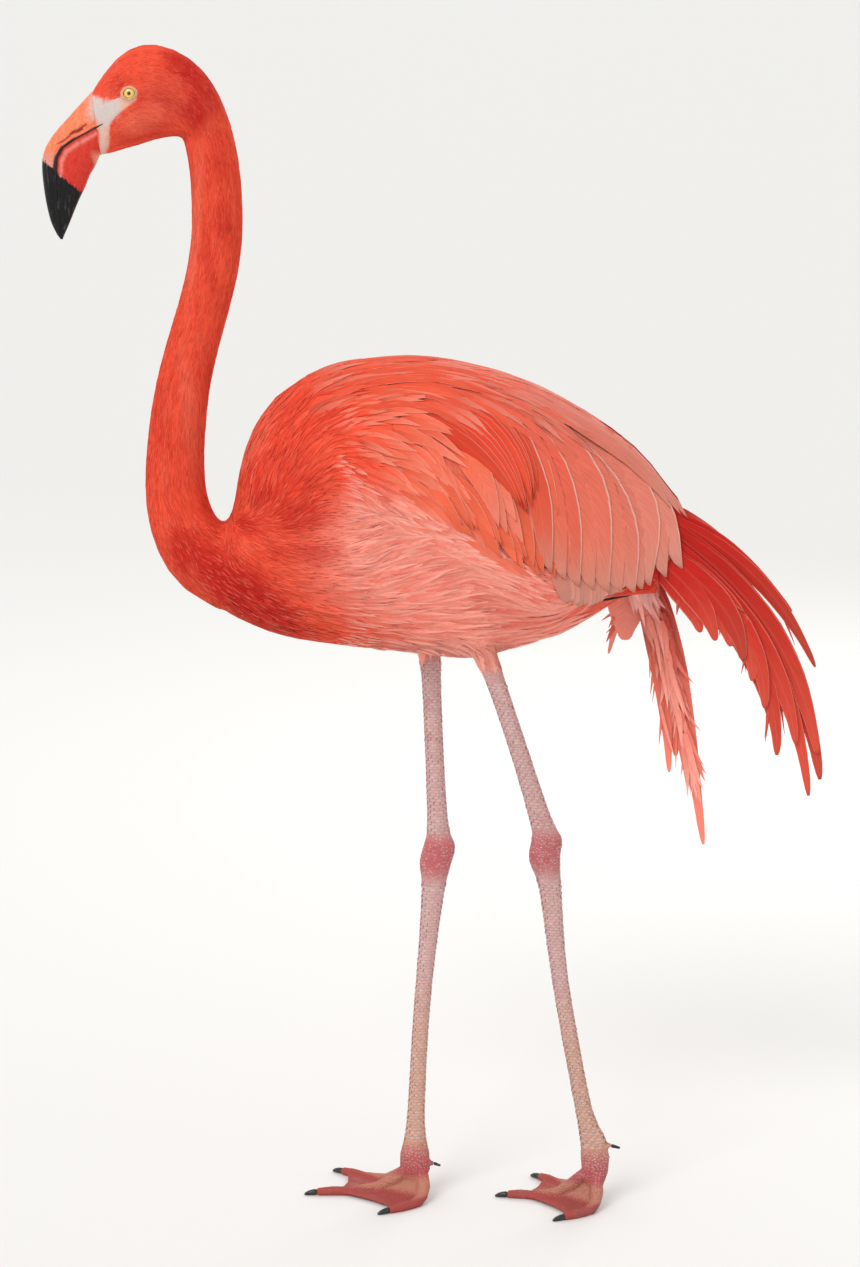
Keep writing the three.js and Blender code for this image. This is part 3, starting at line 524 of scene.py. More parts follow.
def vane_tops(lines, ups, ways, width, profile, columns, dome, tuck=0.0):
    """Rings of blades along middle lines: profile has the share of the full width at each ring, and
    tuck how far the edges lie below the middle."""
    s = across(columns)[None, None, :]
    half = (0.5 * width[:, None] * np.asarray(profile)[None, :])[:, :, None]
    out = dome * half * (1 - s**2) - tuck * s**2
    aside = unit(np.cross(ways, ups))
    return lines[:, :, None] + aside[:, :, None] * (half * s)[..., None] + ups[:, :, None] * out[..., None]


def vanes(name, slot, finish, grown, width, profile, columns, dome, shades, fade, root_uv,
          tuck=0.0, softness=None, replaced=()):
    """One piece of many feathers. Grown has their middle lines, ways out and ways ahead, shades the
    colours of their bases, tips and edges, and fade how these run into each other."""
    tops = vane_tops(*grown, width, profile, columns, dome, tuck)
    tint = blade_tint(*shades, tops.shape[1], columns, *fade)
    made = blades(name, tops, tint, root_uv, grown[1], softness)
    return dress(made, slot, finish, replaced=replaced)


def varied(colour, draw, spread=0.08):
    """Each feather a little lighter or darker than its neighbours."""
    return colour * (1 + draw.normal(0, spread, (len(colour), 1)))


def alike(colour, count):
    """The same colour for many feathers."""
    return np.tile(colour, (count, 1))


# ---- the ground that feathers grow on


def unwrap(points):
    """Places of points on an unrolled tube round the line from the bill to the tail, from 0 to 1."""
    knots = np.array(NECK_LINE + [(r[0], (r[1] + r[2]) / 2) for r in TORSO if r[0] > -185])
    far = np.concatenate([[0], np.cumsum(np.linalg.norm(np.diff(knots, axis=0), axis=1))])
    along = np.linspace(0, far[-1], 260)
    line = np.stack([np.interp(along, far, knots[:, 0]), np.interp(along, far, knots[:, 1])], 1)
    run = np.gradient(line, axis=0)
    run /= np.linalg.norm(run, axis=1, keepdims=True)
    away = points[:, None, [0, 2]] - line[None]
    nearest = (away**2).sum(2).argmin(1)
    side = away[np.arange(len(points)), nearest]
    up = side[:, 1] * run[nearest, 0] - side[:, 0] * run[nearest, 1]
    angle = np.arctan2(points[:, 1], up)
    return np.stack([0.02 + 0.96 * along[nearest] / far[-1], 0.5 + 0.48 * angle / math.pi], 1)


class Ground:
    """A surface that feathers grow on, with quick answers about the nearest place on it."""

    def __init__(self, made, lie=lie_at):
        self.lie = lie
        mesh = made.data
        mesh.calc_loop_triangles()
        self.points = read(mesh.vertices, "co").astype(float) / MM - (SHIFT, 0, 0)
        self.faces = read(mesh.loop_triangles, "vertices", np.int32)
        self.normals = read(mesh.vertex_normals, "vector").astype(float)
        corners = self.points[self.faces]
        cross = np.cross(corners[:, 1] - corners[:, 0], corners[:, 2] - corners[:, 0])
        self.area = np.linalg.norm(cross, axis=1) / 2
        self.centres = corners.mean(1)
        self.tree = BVHTree.FromPolygons(self.points.tolist(), self.faces.tolist(), all_triangles=True)

    def nearest(self, points):
        """The nearest place of the surface for each point, and the way out there."""
        found, index = np.empty_like(points), np.empty(len(points), int)
        for i, point in enumerate(points.tolist()):
            place, _, face, _ = self.tree.find_nearest(point)
            found[i] = place
            index[i] = face
        return found, unit(self.normals[self.faces[index]].mean(1))

    def scatter(self, chosen, spacing, draw):
        """Roots over the chosen faces. Spacing gives how far apart they are along and across the lie."""
        picked = np.flatnonzero(chosen(self.centres))
        gap_along, gap_across = spacing(self.centres[picked])
        faces = np.repeat(picked, draw.poisson(ROOT_TRIES * self.area[picked] / (gap_along * gap_across)))
        a, b = draw.random((2, len(faces), 1))
        folded = (a + b) > 1
        a, b = np.where(folded, 1 - a, a), np.where(folded, 1 - b, b)
        corners = self.points[self.faces[faces]]
        places = corners[:, 0] + a * (corners[:, 1] - corners[:, 0]) + b * (corners[:, 2] - corners[:, 0])
        places = places[draw.permutation(len(places))]
        gap_along, gap_across = (values.tolist() for values in spacing(places))
        ways = self.lie(places).tolist()
        listed = places.tolist()
        tree = KDTree(len(listed))
        for i, place in enumerate(listed):
            tree.insert(place, i)
        tree.balance()
        alive = [True] * len(listed)
        for i, (px, py, pz) in enumerate(listed):
            if not alive[i]:
                continue
            wx, wy, wz = ways[i]
            long, wide = 1 / gap_along[i] ** 2, 1 / gap_across[i] ** 2
            for (qx, qy, qz), j, _ in tree.find_range((px, py, pz), gap_along[i]):
                if j > i and alive[j]:
                    dx, dy, dz = qx - px, qy - py, qz - pz
                    ahead = (dx * wx + dy * wy + dz * wz) ** 2
                    if ahead * long + (dx * dx + dy * dy + dz * dz - ahead) * wide < 1:
                        alive[j] = False
        return places[np.array(alive)]

    def grow(self, roots, length, lift_root, lift_tip, rings, draw, stray=0.12):
        """Middle lines of feathers that follow the lie of the plumage over the surface."""
        place, up = self.nearest(roots)
        turn = draw.normal(0, stray, len(roots))[:, None]
        lines, ups, ways = [], [], []
        for k in range(rings):
            share = k / (rings - 1)
            way = square_to(self.lie(place), up)
            way = unit(way + turn * np.cross(up, way))
            lift = mix(lift_root, lift_tip, 1.6 * share - 0.75 * share**2.5)
            lines.append(place + up * np.reshape(lift, (-1, 1)))
            ups.append(up)
            ways.append(way)
            if k < rings - 1:
                place, up = self.nearest(place + way * (length / (rings - 1))[:, None])
        return np.stack(lines, 1), np.stack(ups, 1), np.stack(ways, 1)


def evenly(along, aside):
    """Spacing that is the same all over."""
    return lambda points: (np.full(len(points), along), np.full(len(points), aside))


GROUND = {}


def torso_half(x, z):
    """Half width of the bare trunk at x and z."""
    row = torso_at(x)
    tall, middle = (row[..., 1] - row[..., 2]) / 2, (row[..., 1] + row[..., 2]) / 2
    inside = (x > TORSO[0][0]) & (x < TORSO[-1][0])
    return np.where(inside, row[..., 3] * np.sqrt(np.clip(1 - ((z - middle) / tall) ** 2, 0, 1)), 0)


def folded_half(x, z, lift=0.0):
    """Half width of the folded wings at x and z. They round over the back and hang straight below."""
    row = folded_at(x)
    ridge, widest, half = row[..., 1], row[..., 2], row[..., 3]
    rise = np.clip((z - widest) / (ridge + lift - widest), -1, 0.996)
    return (half + lift) * np.where(rise > 0, np.sqrt(1 - rise * rise), 1 - 0.12 * rise * rise)


def folded(x, z, lift, side):
    return np.stack([x, side * folded_half(x, z, lift), z], -1)


def wing_edge(x):
    """Height of the folded wing's lower front edge, where the flank feathers lie over it."""
    return np.maximum(815 - 0.652 * (x + 90), 668)


def body_half(x, z):
    """Half width of the dressed body, where the flank's soft feathers swell up to the wing."""
    below = (wing_edge(x) - z) * 0.84
    swell = mix(62, 10, smooth(100, 165, x))
    winged = smooth(swell, 0, below) * smooth(-165, -105, x)
    ridge = folded_at(x)[..., 1]
    wing = np.where(z < ridge, folded_half(x, z), 0)
    return mix(torso_half(x, z), np.maximum(wing, torso_half(x, z)), winged)


def body_form():
    """The dressed trunk as rings of points, each the farthest place that is still inside it."""
    xs = np.linspace(-215, 232, 130)
    angles = np.linspace(0, 2 * math.pi, 96, endpoint=False)
    far = np.linspace(1, 175, 240)
    rows = torso_at(xs)
    middle = (rows[:, 1] + rows[:, 2]) / 2
    y = np.abs(np.cos(angles))[None, :, None] * far
    z = middle[:, None, None] + np.sin(angles)[None, :, None] * far
    x = np.broadcast_to(xs[:, None, None], z.shape)
    reach = np.where(y < body_half(x, z), far, 0).max(2)
    reach = np.maximum(reach, 2)
    for _ in range(2):
        reach[1:-1] = (reach[:-2] + 2 * reach[1:-1] + reach[2:]) / 4
        reach = (np.roll(reach, 1, 1) + 2 * reach + np.roll(reach, -1, 1)) / 4
    points = np.stack([
        np.broadcast_to(xs[:, None], reach.shape),
        np.cos(angles) * reach,
        middle[:, None] + np.sin(angles) * reach,
    ], -1)
    return points.reshape(-1, 3), tube_faces(*reach.shape, turned=True)


def only(made):
    """Selects one object alone and makes it active."""
    bpy.ops.object.select_all(action="DESELECT")
    made.select_set(True)
    bpy.context.view_layer.objects.active = made


def apply(made, kind, **values):
    """Adds a modifier with these values and applies it."""
    only(made)
    modifier = made.modifiers.new(kind.title(), kind)
    for key, value in values.items():
        setattr(modifier, key, value)
    bpy.ops.object.modifier_apply(modifier=modifier.name)


FLESH_BODY = ("torso", "neck_lower", "neck_middle", "neck_upper", "head")
FLESH_LEGS = tuple(
    f"{part}_{side}" for part in ("thigh", "shank", "hock", "tarsus", "foot") for side, _ in SIDES
)


def joined_copy(name, nodes, extra=None):
    """Copies of nodes of the frame, joined as one object."""
    bpy.ops.object.select_all(action="DESELECT")
    for node in nodes:
        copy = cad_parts[node].copy()
        copy.data = copy.data.copy()
        for key in list(copy.keys()):
            del copy[key]
        copy.parent = None
        bpy.context.scene.collection.objects.link(copy)
        copy.select_set(True)
        bpy.context.view_layer.objects.active = copy
    if extra is not None:
        extra.select_set(True)
    bpy.ops.object.join()
    made = bpy.context.view_layer.objects.active
    made.name = made.data.name = name
    made.data.materials.clear()
    return made


def fused(name, nodes, voxel, extra=None, rounds=6):
    """One smooth closed surface round nodes of the frame, with no seam between them."""
    made = joined_copy(name, nodes, extra)
    apply(made, "WELD", merge_threshold=WELD_GAP)
    apply(made, "DISPLACE", strength=0.0004, mid_level=0.0)
    apply(made, "REMESH", mode="VOXEL", voxel_size=voxel, use_smooth_shade=True)
    apply(made, "SMOOTH", factor=0.5, iterations=rounds)
    return made


def thinned(made, faces):
    """Takes corners out of a mesh until about this many faces are left."""
    apply(made, "DECIMATE", ratio=min(1.0, faces / len(made.data.polygons)))


def leg_share(points):
    """1 on the bare legs and feet, 0 on the feathered body."""
    return smooth(592, 580, points[:, 2])


# ---- materials


class Nodes:
    """The nodes of one material or node group, with short ways to add to them."""

    def __init__(self, tree):
        self.tree = tree

    def fill(self, node, inputs):
        """Sets a node's sockets to numbers and colours, or links the outputs given for them."""
        for key, value in inputs.items():
            socket = node.inputs[key]
            if isinstance(value, bpy.types.NodeSocket):
                self.tree.links.new(value, socket)
            else:
                socket.default_value = (*value[:3], 1) if socket.type == "RGBA" else value

    def add(self, kind, inputs, **settings):
        """A new node with these sockets filled and these settings."""
        node = self.tree.nodes.new("ShaderNode" + kind)
        for key, value in settings.items():
            setattr(node, key, value)
        self.fill(node, inputs)
        return node

    def maths(self, operation, *values):
        return self.add("Math", dict(enumerate(values)), operation=operation).outputs[0]

    def mixed(self, kind, share, first, second):
        sockets = {0: share, 6: first, 7: second}
        return self.add("Mix", sockets, data_type="RGBA", blend_type=kind).outputs[2]

    def scaled(self, colour, factor):
        return self.add("VectorMath", {0: colour, "Scale": factor}, operation="SCALE").outputs[0]

    def ramp(self, value, *stops):
        node = self.add("ValToRGB", {0: value})
        elements = node.color_ramp.elements
        while len(elements) < len(stops):
            elements.new(0.5)
        for element, (spot, shade) in zip(elements, stops):
            element.position = spot
            element.color = (*shade, 1)
        return node.outputs[0]

    def ranged(self, value, low, high, first=0.0, last=1.0):
        sockets = {0: value, "From Min": low, "From Max": high, "To Min": first, "To Max": last}
        return self.add("MapRange", sockets).outputs[0]

    def place(self, **mapping):
        """Places on the object itself, scaled or moved as the Mapping node's sockets say."""
        spot = self.add("TexCoord", {}).outputs["Object"]
        return self.add("Mapping", {0: spot, **mapping}).outputs[0] if mapping else spot

    def noise(self, scale, detail=4.0, **mapping):
        sockets = {"Vector": self.place(**mapping), "Scale": scale, "Detail": detail}
        return self.add("TexNoise", sockets).outputs[0]

    def tint(self):
        return self.add("VertexColor", {}, layer_name="Tint").outputs[0]

    def surface(self, colour, roughness, bump=None, **more):
        """Fills the material's own shader. Bump has a height, its strength and its distance. The
        names of more sockets have _ for spaces."""
        inputs = {"Base Color": colour, "Roughness": roughness}
        inputs.update({key.replace("_", " "): value for key, value in more.items()})
        if bump:
            sockets = dict(zip(("Height", "Strength", "Distance"), bump))
            inputs["Normal"] = self.add("Bump", sockets).outputs[0]
        self.fill(self.tree.nodes["Principled BSDF"], inputs)


def new_material(name):
    """The nodes of a new material."""
    made = bpy.data.materials.new(name)
    made.use_nodes = True
    return Nodes(made.node_tree)


def feather_barbs():
    """Node group: fine barbs that run from a feather's shaft to its edges, from the Vane map."""
    tree = bpy.data.node_groups.new("Feather Barbs", "ShaderNodeTree")
    for socket, default in (("Color", None), ("Barbs", 40.0), ("Strength", 0.3), ("Shaft", 0.3)):
        kind = "NodeSocketFloat" if default else "NodeSocketColor"
        made = tree.interface.new_socket(socket, in_out="INPUT", socket_type=kind)
        if default:
            made.default_value = default
    for socket, kind in (("Color", "NodeSocketColor"), ("Height", "NodeSocketFloat")):
        tree.interface.new_socket(socket, in_out="OUTPUT", socket_type=kind)
    made, start = Nodes(tree), tree.nodes.new("NodeGroupInput").outputs
    split = made.add("SeparateXYZ", {0: made.add("UVMap", {}, uv_map="Vane").outputs[0]}).outputs
    aside = made.maths("ABSOLUTE", made.maths("SUBTRACT", split[0], 0.5))
    slant = made.maths("MULTIPLY_ADD", aside, -0.35, split[1])
    spot = made.add("CombineXYZ", {
        0: made.maths("MULTIPLY", slant, start["Barbs"]),
        1: made.maths("MULTIPLY", aside, 3.0),
    })
    sockets = {"Vector": spot.outputs[0], "Scale": 1.0, "Detail": 2.0}
    noise = made.add("TexNoise", sockets, noise_dimensions="2D").outputs[0]
    streak = made.maths("SUBTRACT", noise, 0.5)
    shaded = made.scaled(start["Color"], made.maths("MULTIPLY_ADD", streak, start["Strength"], 1.0))
    shaft = made.ranged(aside, 0.0, 0.07, 1.0, 0.0)
    ridge = made.maths("MULTIPLY", shaft, start["Shaft"])
    made.fill(tree.nodes.new("NodeGroupOutput"), {
        "Color": made.mixed("MIX", ridge, shaded, (0.9, 0.42, 0.3)),
        "Height": made.maths("ADD", streak, shaft),
    })
    return tree


def feather_material(name, barbs, strength, shaft, roughness, bump, sheen=0.07):
    """Satin feathers in the Tint map's colours, with barbs and a shaft."""
    made = new_material(name)
    sockets = {"Color": made.tint(), "Barbs": barbs, "Strength": strength, "Shaft": shaft}
    tree = bpy.data.node_groups.get("Feather Barbs") or feather_barbs()
    vane = made.add("Group", sockets, node_tree=tree)
    made.surface(
        vane.outputs["Color"], roughness, (vane.outputs["Height"], bump, 0.0004),
        Specular_IOR_Level=0.15, Sheen_Weight=sheen, Sheen_Roughness=0.5, Sheen_Tint=(1.0, 0.55, 0.42),
    )


def leg_material():
    """Skin of the legs in the Tint map's colours: small scales that darken their seams."""
    made = new_material("Leg Scales")
    sockets = {"Vector": made.place(Scale=(1, 1, 1.5)), "Scale": 330}
    cells = made.add("TexVoronoi", sockets, feature="DISTANCE_TO_EDGE")
    plate = made.ranged(cells.outputs["Distance"], 0.0, 0.16)
    seam = made.maths("MULTIPLY", made.maths("SUBTRACT", 1.0, plate), 0.6)
    tint = made.tint()
    seamed = made.mixed("MIX", seam, tint, made.mixed("MULTIPLY", 0.7, tint, (0.6, 0.34, 0.33)))
    shade = made.maths("MULTIPLY_ADD", made.noise(130, 5.0), 0.5, 0.75)
    made.surface(made.scaled(seamed, shade), 0.5, (plate, 0.5, 0.0006))


def grained_material(name, scale, bump, low=0.85, high=1.15, roughness=0.8, specular=0.2):
    """The Tint map's colours with a grain of their own, for down, bare skin and horny plates."""
    made = new_material(name)
    grain = made.noise(scale)
    colour = made.scaled(made.tint(), made.maths("MULTIPLY_ADD", grain, high - low, low))
    made.surface(colour, roughness, (grain, bump, 0.0005), Specular_IOR_Level=specular)


def plain_material(name, colour, shadow, scale, bump, roughness):
    """One colour with darker creases."""
    made = new_material(name)
    grain = made.noise(scale, 5.0)
    made.surface(made.ramp(grain, (0.35, shadow), (0.62, colour)), roughness, (grain, bump, 0.0004))


def bill_material():
    """Horn of the bill: its own colours from the Tint map, and a black tip with grey streaks."""
    made = new_material("Bill Horn")
    split = made.add("SeparateXYZ", {0: made.place(Location=-to_metres([-368, 0, 1084]))}).outputs
    slant = made.maths("MULTIPLY_ADD", split[0], 0.86, split[2])
    ragged = made.maths("MULTIPLY_ADD", made.noise(420, Scale=(1, 1, 0.5)), 0.012, -0.006)
    black = made.ranged(made.maths("ADD", slant, ragged), 0.0012, -0.0012)
    streaks = made.noise(90, 6.0, Scale=(4.5, 4.5, 0.6))
    horn = colours("horn")
    tip = made.ramp(streaks, (0.5, horn), (0.6, horn * 2), (0.68, srgb(70, 67, 68)))
    mottled = made.mixed("OVERLAY", 0.55, made.tint(), made.noise(480, 5.0))
    made.surface(
        made.mixed("MIX", black, mottled, tip), made.ranged(black, 0.0, 1.0, 0.42, 0.34),
        (streaks, 0.25, 0.0004), Specular_IOR_Level=0.22,
    )


def eye_material(centre):
    """Glossy eye: pupil, yellow iris and dark rim round its own centre."""
    made = new_material("Eye")
    spot = made.place(Location=(-centre[0], 0, -centre[2]))
    flat = made.add("VectorMath", {0: spot, 1: (1, 0, 1)}, operation="MULTIPLY").outputs[0]
    away = made.add("VectorMath", {0: flat}, operation="LENGTH").outputs["Value"]
    reach = made.maths("MULTIPLY", away, 1000 / 8.2)
    ragged = made.maths("ADD", reach, made.maths("MULTIPLY", made.noise(900), 0.05))
    iris = colours("iris")
    shade = made.ramp(
        ragged, (0.2, (0.003, 0.003, 0.003)), (0.245, iris * 0.4), (0.3, iris), (0.6, iris),
        (0.72, iris * 0.45), (0.8, (0.05, 0.02, 0.01)),
    )
    made.surface(shade, 0.12, Coat_Weight=1.0, Coat_Roughness=0.03)


# ---- skin

GROUND_CELL = 0.0024
GROUND_ROUNDS = 14
SKIN_FACES, DOWN_FACES = 92000, 30000


class FLAMINGO_OT_skin(bpy.types.Operator):
    """One skin for the trunk, neck, head, legs and feet"""

    bl_idname = "flamingo.skin"
    bl_label = "Skin"

    def execute(self, context):
        form = mesh_object("ground_form", *body_form())
        ground = fused("ground", FLESH_BODY + FLESH_LEGS[:2], GROUND_CELL, form, GROUND_ROUNDS)
        rough = Ground(ground)
        move_corners(ground, rough.points - rough.normals * dent(rough.points)[:, None])
        GROUND["body"] = Ground(ground)

        skin = fused("skin", FLESH_BODY + FLESH_LEGS, context.scene.flamingo.skin_voxel)
        thinned(skin, SKIN_FACES)
        surface = Ground(skin)
        depth = coat_at(surface.points)[2] * (1 - leg_share(surface.points))
        depth = depth * mix(1.0, 0.25, face_share(surface.points)) + dent(surface.points)
        moved = surface.points - surface.normals * depth[:, None]
        move_corners(skin, moved)
        paint(skin, skin_colour(moved))
        grained_material("Down", 700, 0.4)
        leg_material()
        grained_material("Bare Face", 520, 0.35, 0.8, 1.2, 0.55, 0.4)
        dress(skin, "leg_skin", "Down", "Leg Scales", "Bare Face", replaced=FLESH_BODY + FLESH_LEGS)
        centres = moved[surface.faces].mean(1)
        kinds = (leg_share(centres) > 0.5).astype(np.int32)
        kinds[face_share(centres) > 0.5] = 2
        write(skin.data.polygons, "material_index", np.resize(kinds, len(skin.data.polygons)), np.int32)
        skin.data.update()
        under_down(ground)
        GROUND["skin"] = Ground(skin)
        return {"FINISHED"}


def dent(points):
    """How far the body is drawn in where the mantle rounds off, at its front and its foot."""
    x, _, z = points.T
    front = np.exp(-((x + 151) ** 2 + (z - 867) ** 2) / 24**2)
    foot = np.exp(-((x + 194) ** 2 + (z - 748) ** 2) / 26**2)
    return 4.0 * front + 4.0 * foot


def under_down(made):
    """Draws the ground of the coat in, as the down under the feathers. It ends inside neck and legs."""
    ground = GROUND["body"]
    x, _, z = ground.points.T
    depth = coat_at(ground.points)[2] + 0.3
    winged = smooth(-4, 14, z - wing_edge(x)) * smooth(-52, -10, x) * smooth(250, 236, x)
    ends = np.maximum(smooth(745, 765, z) * smooth(-205, -225, x), smooth(590, 580, z))
    depth = mix(mix(depth, 6.5, winged), 6.0, ends)
    move_corners(made, ground.points - ground.normals * depth[:, None])
    thinned(made, DOWN_FACES)
    made.name = made.data.name = "under_down"
    # The down takes the plumage colour lightened with coral. This is painted light, so the gaps between the
    # feathers, where shade falls, look less dark.
    paint(made, blend(plumage_colour(Ground(made).points), "coral", 0.3))
    dress(made, "plumage", "Down")


def outline_share(points, corners, soft):
    """1 well inside an outline of the side view, 0 well outside it."""
    spot, corners = points[:, [0, 2]], np.array(corners, float)
    inside, away = np.zeros(len(spot), bool), np.full(len(spot), 1e9)
    for a, b in zip(corners, np.roll(corners, -1, axis=0)):
        step = b - a
        s = np.clip(((spot - a) @ step) / (step @ step), 0, 1)
        away = np.minimum(away, np.linalg.norm(spot - a - s[:, None] * step, axis=1))
        level = (a[1] > spot[:, 1]) != (b[1] > spot[:, 1])
        inside ^= level & (spot[:, 0] < a[0] + (spot[:, 1] - a[1]) * step[0] / (step[1] or 1))
    return smooth(-soft, soft, np.where(inside, away, -away))


def face_share(points):
    """1 on the bare skin between the eye and the bill, 0 elsewhere."""
    return outline_share(points, BARE_FACE, 1.4)


def skin_colour(points):
    """Colour of the skin: the coat's own where it is feathered, and the legs' zones below."""
    x, _, z = points.T
    leg = alike(colours("leg"), len(points))
    blush = smooth(0.6, 1.1, speckle(points, 22, 9)) * smooth(300, 340, z)
    for name, share in (
        ("hock", 0.85 * smooth(34, 8, np.abs(z - hock_height(points)))),
        ("hock", 0.25 * blush),
        ("shin", 0.75 * smooth(270, 170, z)),
        ("foot", 0.9 * smooth(66, 34, z)),
        ("hock", 0.6 * smooth(26, 8, np.abs(z - 44))),
        ("shin", 0.5 * smooth(8, 12, z) * smooth(30, 22, z)),
    ):
        leg = blend(leg, name, share)
    # Where it is feathered, the skin takes the plumage colour lightened with coral. This is painted light,
    # so it looks less dark where it shows between the feathers.
    found = blend(blend(plumage_colour(points), "coral", 0.15), leg, leg_share(points))
    warm = np.maximum(0.6 * smooth(1142, 1128, z), smooth(-312, -302, x))
    face = blend(colours("face"), blend(colours("lid"), "coral", 0.2), 0.8 * warm)
    base = np.interp(z, (1104, 1126, 1138, 1162), (-330, -329, -331, -340))
    upper = blend(colours("bill"), "coral", 0.5)
    horny = np.where((z < 1130)[:, None], colours("lower_bill"), upper)
    face = blend(face, horny, 0.85 * smooth(base + 1.6, base - 1.6, x))
    return blend(found, face, face_share(points))


# ---- head, neck and body coat

COAT_FOOT = {LEFT: 586, RIGHT: 592}


def bare(points):
    """Where no body feather grows: the face, the legs and round the eyes."""
    x, y, z = points.T
    eye = (np.hypot(x - EYE_X, z - EYE_Z) < 8) & (np.abs(y) > 8)
    return (face_share(points) > 0.5) | (z < np.where(y < 0, COAT_FOOT[LEFT], COAT_FOOT[RIGHT])) | eye


def hidden(points):
    """Where the folded wings cover the body coat for good."""
    x, _, z = points.T
    inside = (z > wing_edge(x) + 14) & (x > -84) & (x < 236) & (z > 700)
    return inside & (z < folded_at(x)[:, 1] - 8)


def body_coat(name, chosen, profile, exposed, close, seed, stray=0.1, lift=0.0):
    """Small body feathers over the chosen part of the body, as one piece. Exposed is the share of a
    feather's length that shows past the next, and close how near they stand as a share of their width."""
    draw = np.random.default_rng(seed)
    ground = GROUND["body"]

    def spacing(points):
        length, width, _ = coat_at(points)
        return exposed * length, close * width

    roots = ground.scatter(chosen, spacing, draw)
    x, _, z = roots.T
    count = len(roots)
    length, width, depth = coat_at(roots)
    length = length * draw.uniform(0.8, 1.25, count)
    width = width * draw.uniform(0.8, 1.2, count)
    top = lift + draw.uniform(-0.3, 0.12, count) * depth
    grown = ground.grow(roots, length, -depth * 0.95, top, len(profile), draw, stray)
    colour = plumage_colour(grown[0][:, -1])
    # Bases are darker deep red: partly the feathers' own deeper bases, partly painted shade standing in for
    # the shade between overlapping feathers.
    base = varied(blend(colour, "deep_red", 0.26), draw, 0.06)
    red = smooth(0.14, 0.05, colour[:, 1])
    tip = varied(blend(colour, "coral", 0.24 * (1 - 0.6 * red)), draw, 0.14)
    base = blend(base, tip, 0.75 * smooth(606, 594, z))
    stroke = draw.random(count)
    tip[stroke < 0.16] = blend(tip[stroke < 0.16], "coral", 0.55)
    tip[stroke > 0.86] = blend(tip[stroke > 0.86], "deep_red", 0.4)
    flecked = draw.random(count) < 0.08 * smooth(700, 660, z)
    tip[flecked] = blend(tip[flecked], "flank_pink", 0.28)
    mantle = smooth(30, 12, folded_at(x)[:, 1] - z) * smooth(-185, -150, x)
    mantle = mantle + smooth(-176, -190, x) * smooth(-208, -203, x) * (z > 770) * (z < 880)
    streaked = draw.random(count) < 0.22 * np.clip(mantle, 0, 1)
    tip[streaked] = blend(tip[streaked], "hem", 0.6)
    vanes(name, "plumage", "Body Feathers", grown, width, profile, 3, 0.15, (base, tip, tip), (0.1, 0.3),
          unwrap(roots), 0.3, 0.75)


class FLAMINGO_OT_neck_coat(bpy.types.Operator):
    """Fine, hair-like feathers of the head and neck"""

    bl_idname = "flamingo.neck_coat"
    bl_label = "Head and neck coat"

    def execute(self, context):
        feather_material("Body Feathers", 9.0, 0.3, 0.1, 0.75, 0.15)
        profile = (0.6, 1.0, 0.0)

        def head(p):
            return (p[:, 2] > 1100) & ~bare(p)

        def neck(p):
            x, _, z = p.T
            return (z <= 1100) & (z > 740) & ((x < -196) | (z > 905))

        body_coat("coat_head", head, profile, 0.34, 1.0, 11, 0.14)
        body_coat("coat_neck", neck, profile, 0.38, 0.86, 12, 0.08)
        return {"FINISHED"}


def trunk(points):
    """Where the body feathers grow, from the breast to the rear."""
    x, _, z = points.T
    return ~((z > 750) & (x < -209)) & ~bare(points) & ~hidden(points) & (z < 960)


class FLAMINGO_OT_body_coat(bpy.types.Operator):
    """Feathers of the breast, belly, shoulders and back"""

    bl_idname = "flamingo.body_coat"
    bl_label = "Body coat"

    def execute(self, context):
        for name, side in SIDES:
            body_coat(
                f"coat_breast_{name}",
                lambda p, side=side: trunk(p) & (p[:, 0] < -90) & (p[:, 1] * side > 0),
                (0.5, 1.0, 0.85, 0.0), 0.26, 0.66, 21 + side,
            )
        body_coat(
            "coat_belly", lambda p: trunk(p) & (p[:, 0] >= -92), (0.5, 0.9, 1.0, 0.75, 0.0),
            0.26, 0.58, 24, 0.09, -0.3,
        )
        return {"FINISHED"}


class FLAMINGO_OT_flanks(bpy.types.Operator):
    """Long soft feathers of the flanks, which lie over the wing's lower edge"""

    bl_idname = "flamingo.flanks"
    bl_label = "Flank feathers"

    def execute(self, context):
        feather_material("Soft Feathers", 16.0, 0.4, 0.12, 0.7, 0.2)
        ground = GROUND["body"]
        profile = (0.4, 0.85, 1.0, 0.95, 0.8, 0.58, 0.32, 0.0)

        def spacing(p):
            grown = smooth(-110, -30, p[:, 0])
            return mix(9, 21, grown), mix(2.4, 5.6, grown)

        for seed, (name, side) in enumerate(SIDES, 31):
            draw = np.random.default_rng(seed)

            def chosen(p, side=side):
                x, y, z = p.T
                return (x > -100) & (x < 138) & (wing_edge(x) - z > 8) & (z > 602) & (y * side > 16)

            roots = ground.scatter(chosen, spacing, draw)
            x, _, z = roots.T
            count = len(roots)
            reach = np.clip(1.1 * (wing_edge(x) - z) + 26, 24, 84) * mix(0.42, 1.0, smooth(-105, -20, x))
            reach = reach * draw.uniform(0.8, 1.1, count) * mix(0.4, 1.0, smooth(604, 636, z))
            width = draw.uniform(7.0, 12.5, count) * mix(0.5, 1.0, smooth(-90, -20, x))
            top = draw.uniform(0.0, 1.3, count)
            grown = ground.grow(roots, reach, -1.8, top, len(profile), draw, 0.13)
            colour = plumage_colour(grown[0][:, -1])
            # Bases, and the edges that take their colour, are deep orange: partly the feathers' own colour,
            # partly painted shade for the shadows between the pale strands.
            base = varied(blend(colour, "wing_orange", 0.68), draw, 0.06)
            tip = varied(blend(colour, "flank_pink", 0.85), draw, 0.08)
            base = blend(base, tip, 0.7 * smooth(632, 606, z))
            vanes(f"flank_{name}", "plumage", "Soft Feathers", grown, width, profile, 3, 0.2,
                  (base, tip, base), (0.05, 0.68), unwrap(roots), 0.7, 0.7)
        return {"FINISHED"}


# ---- wings

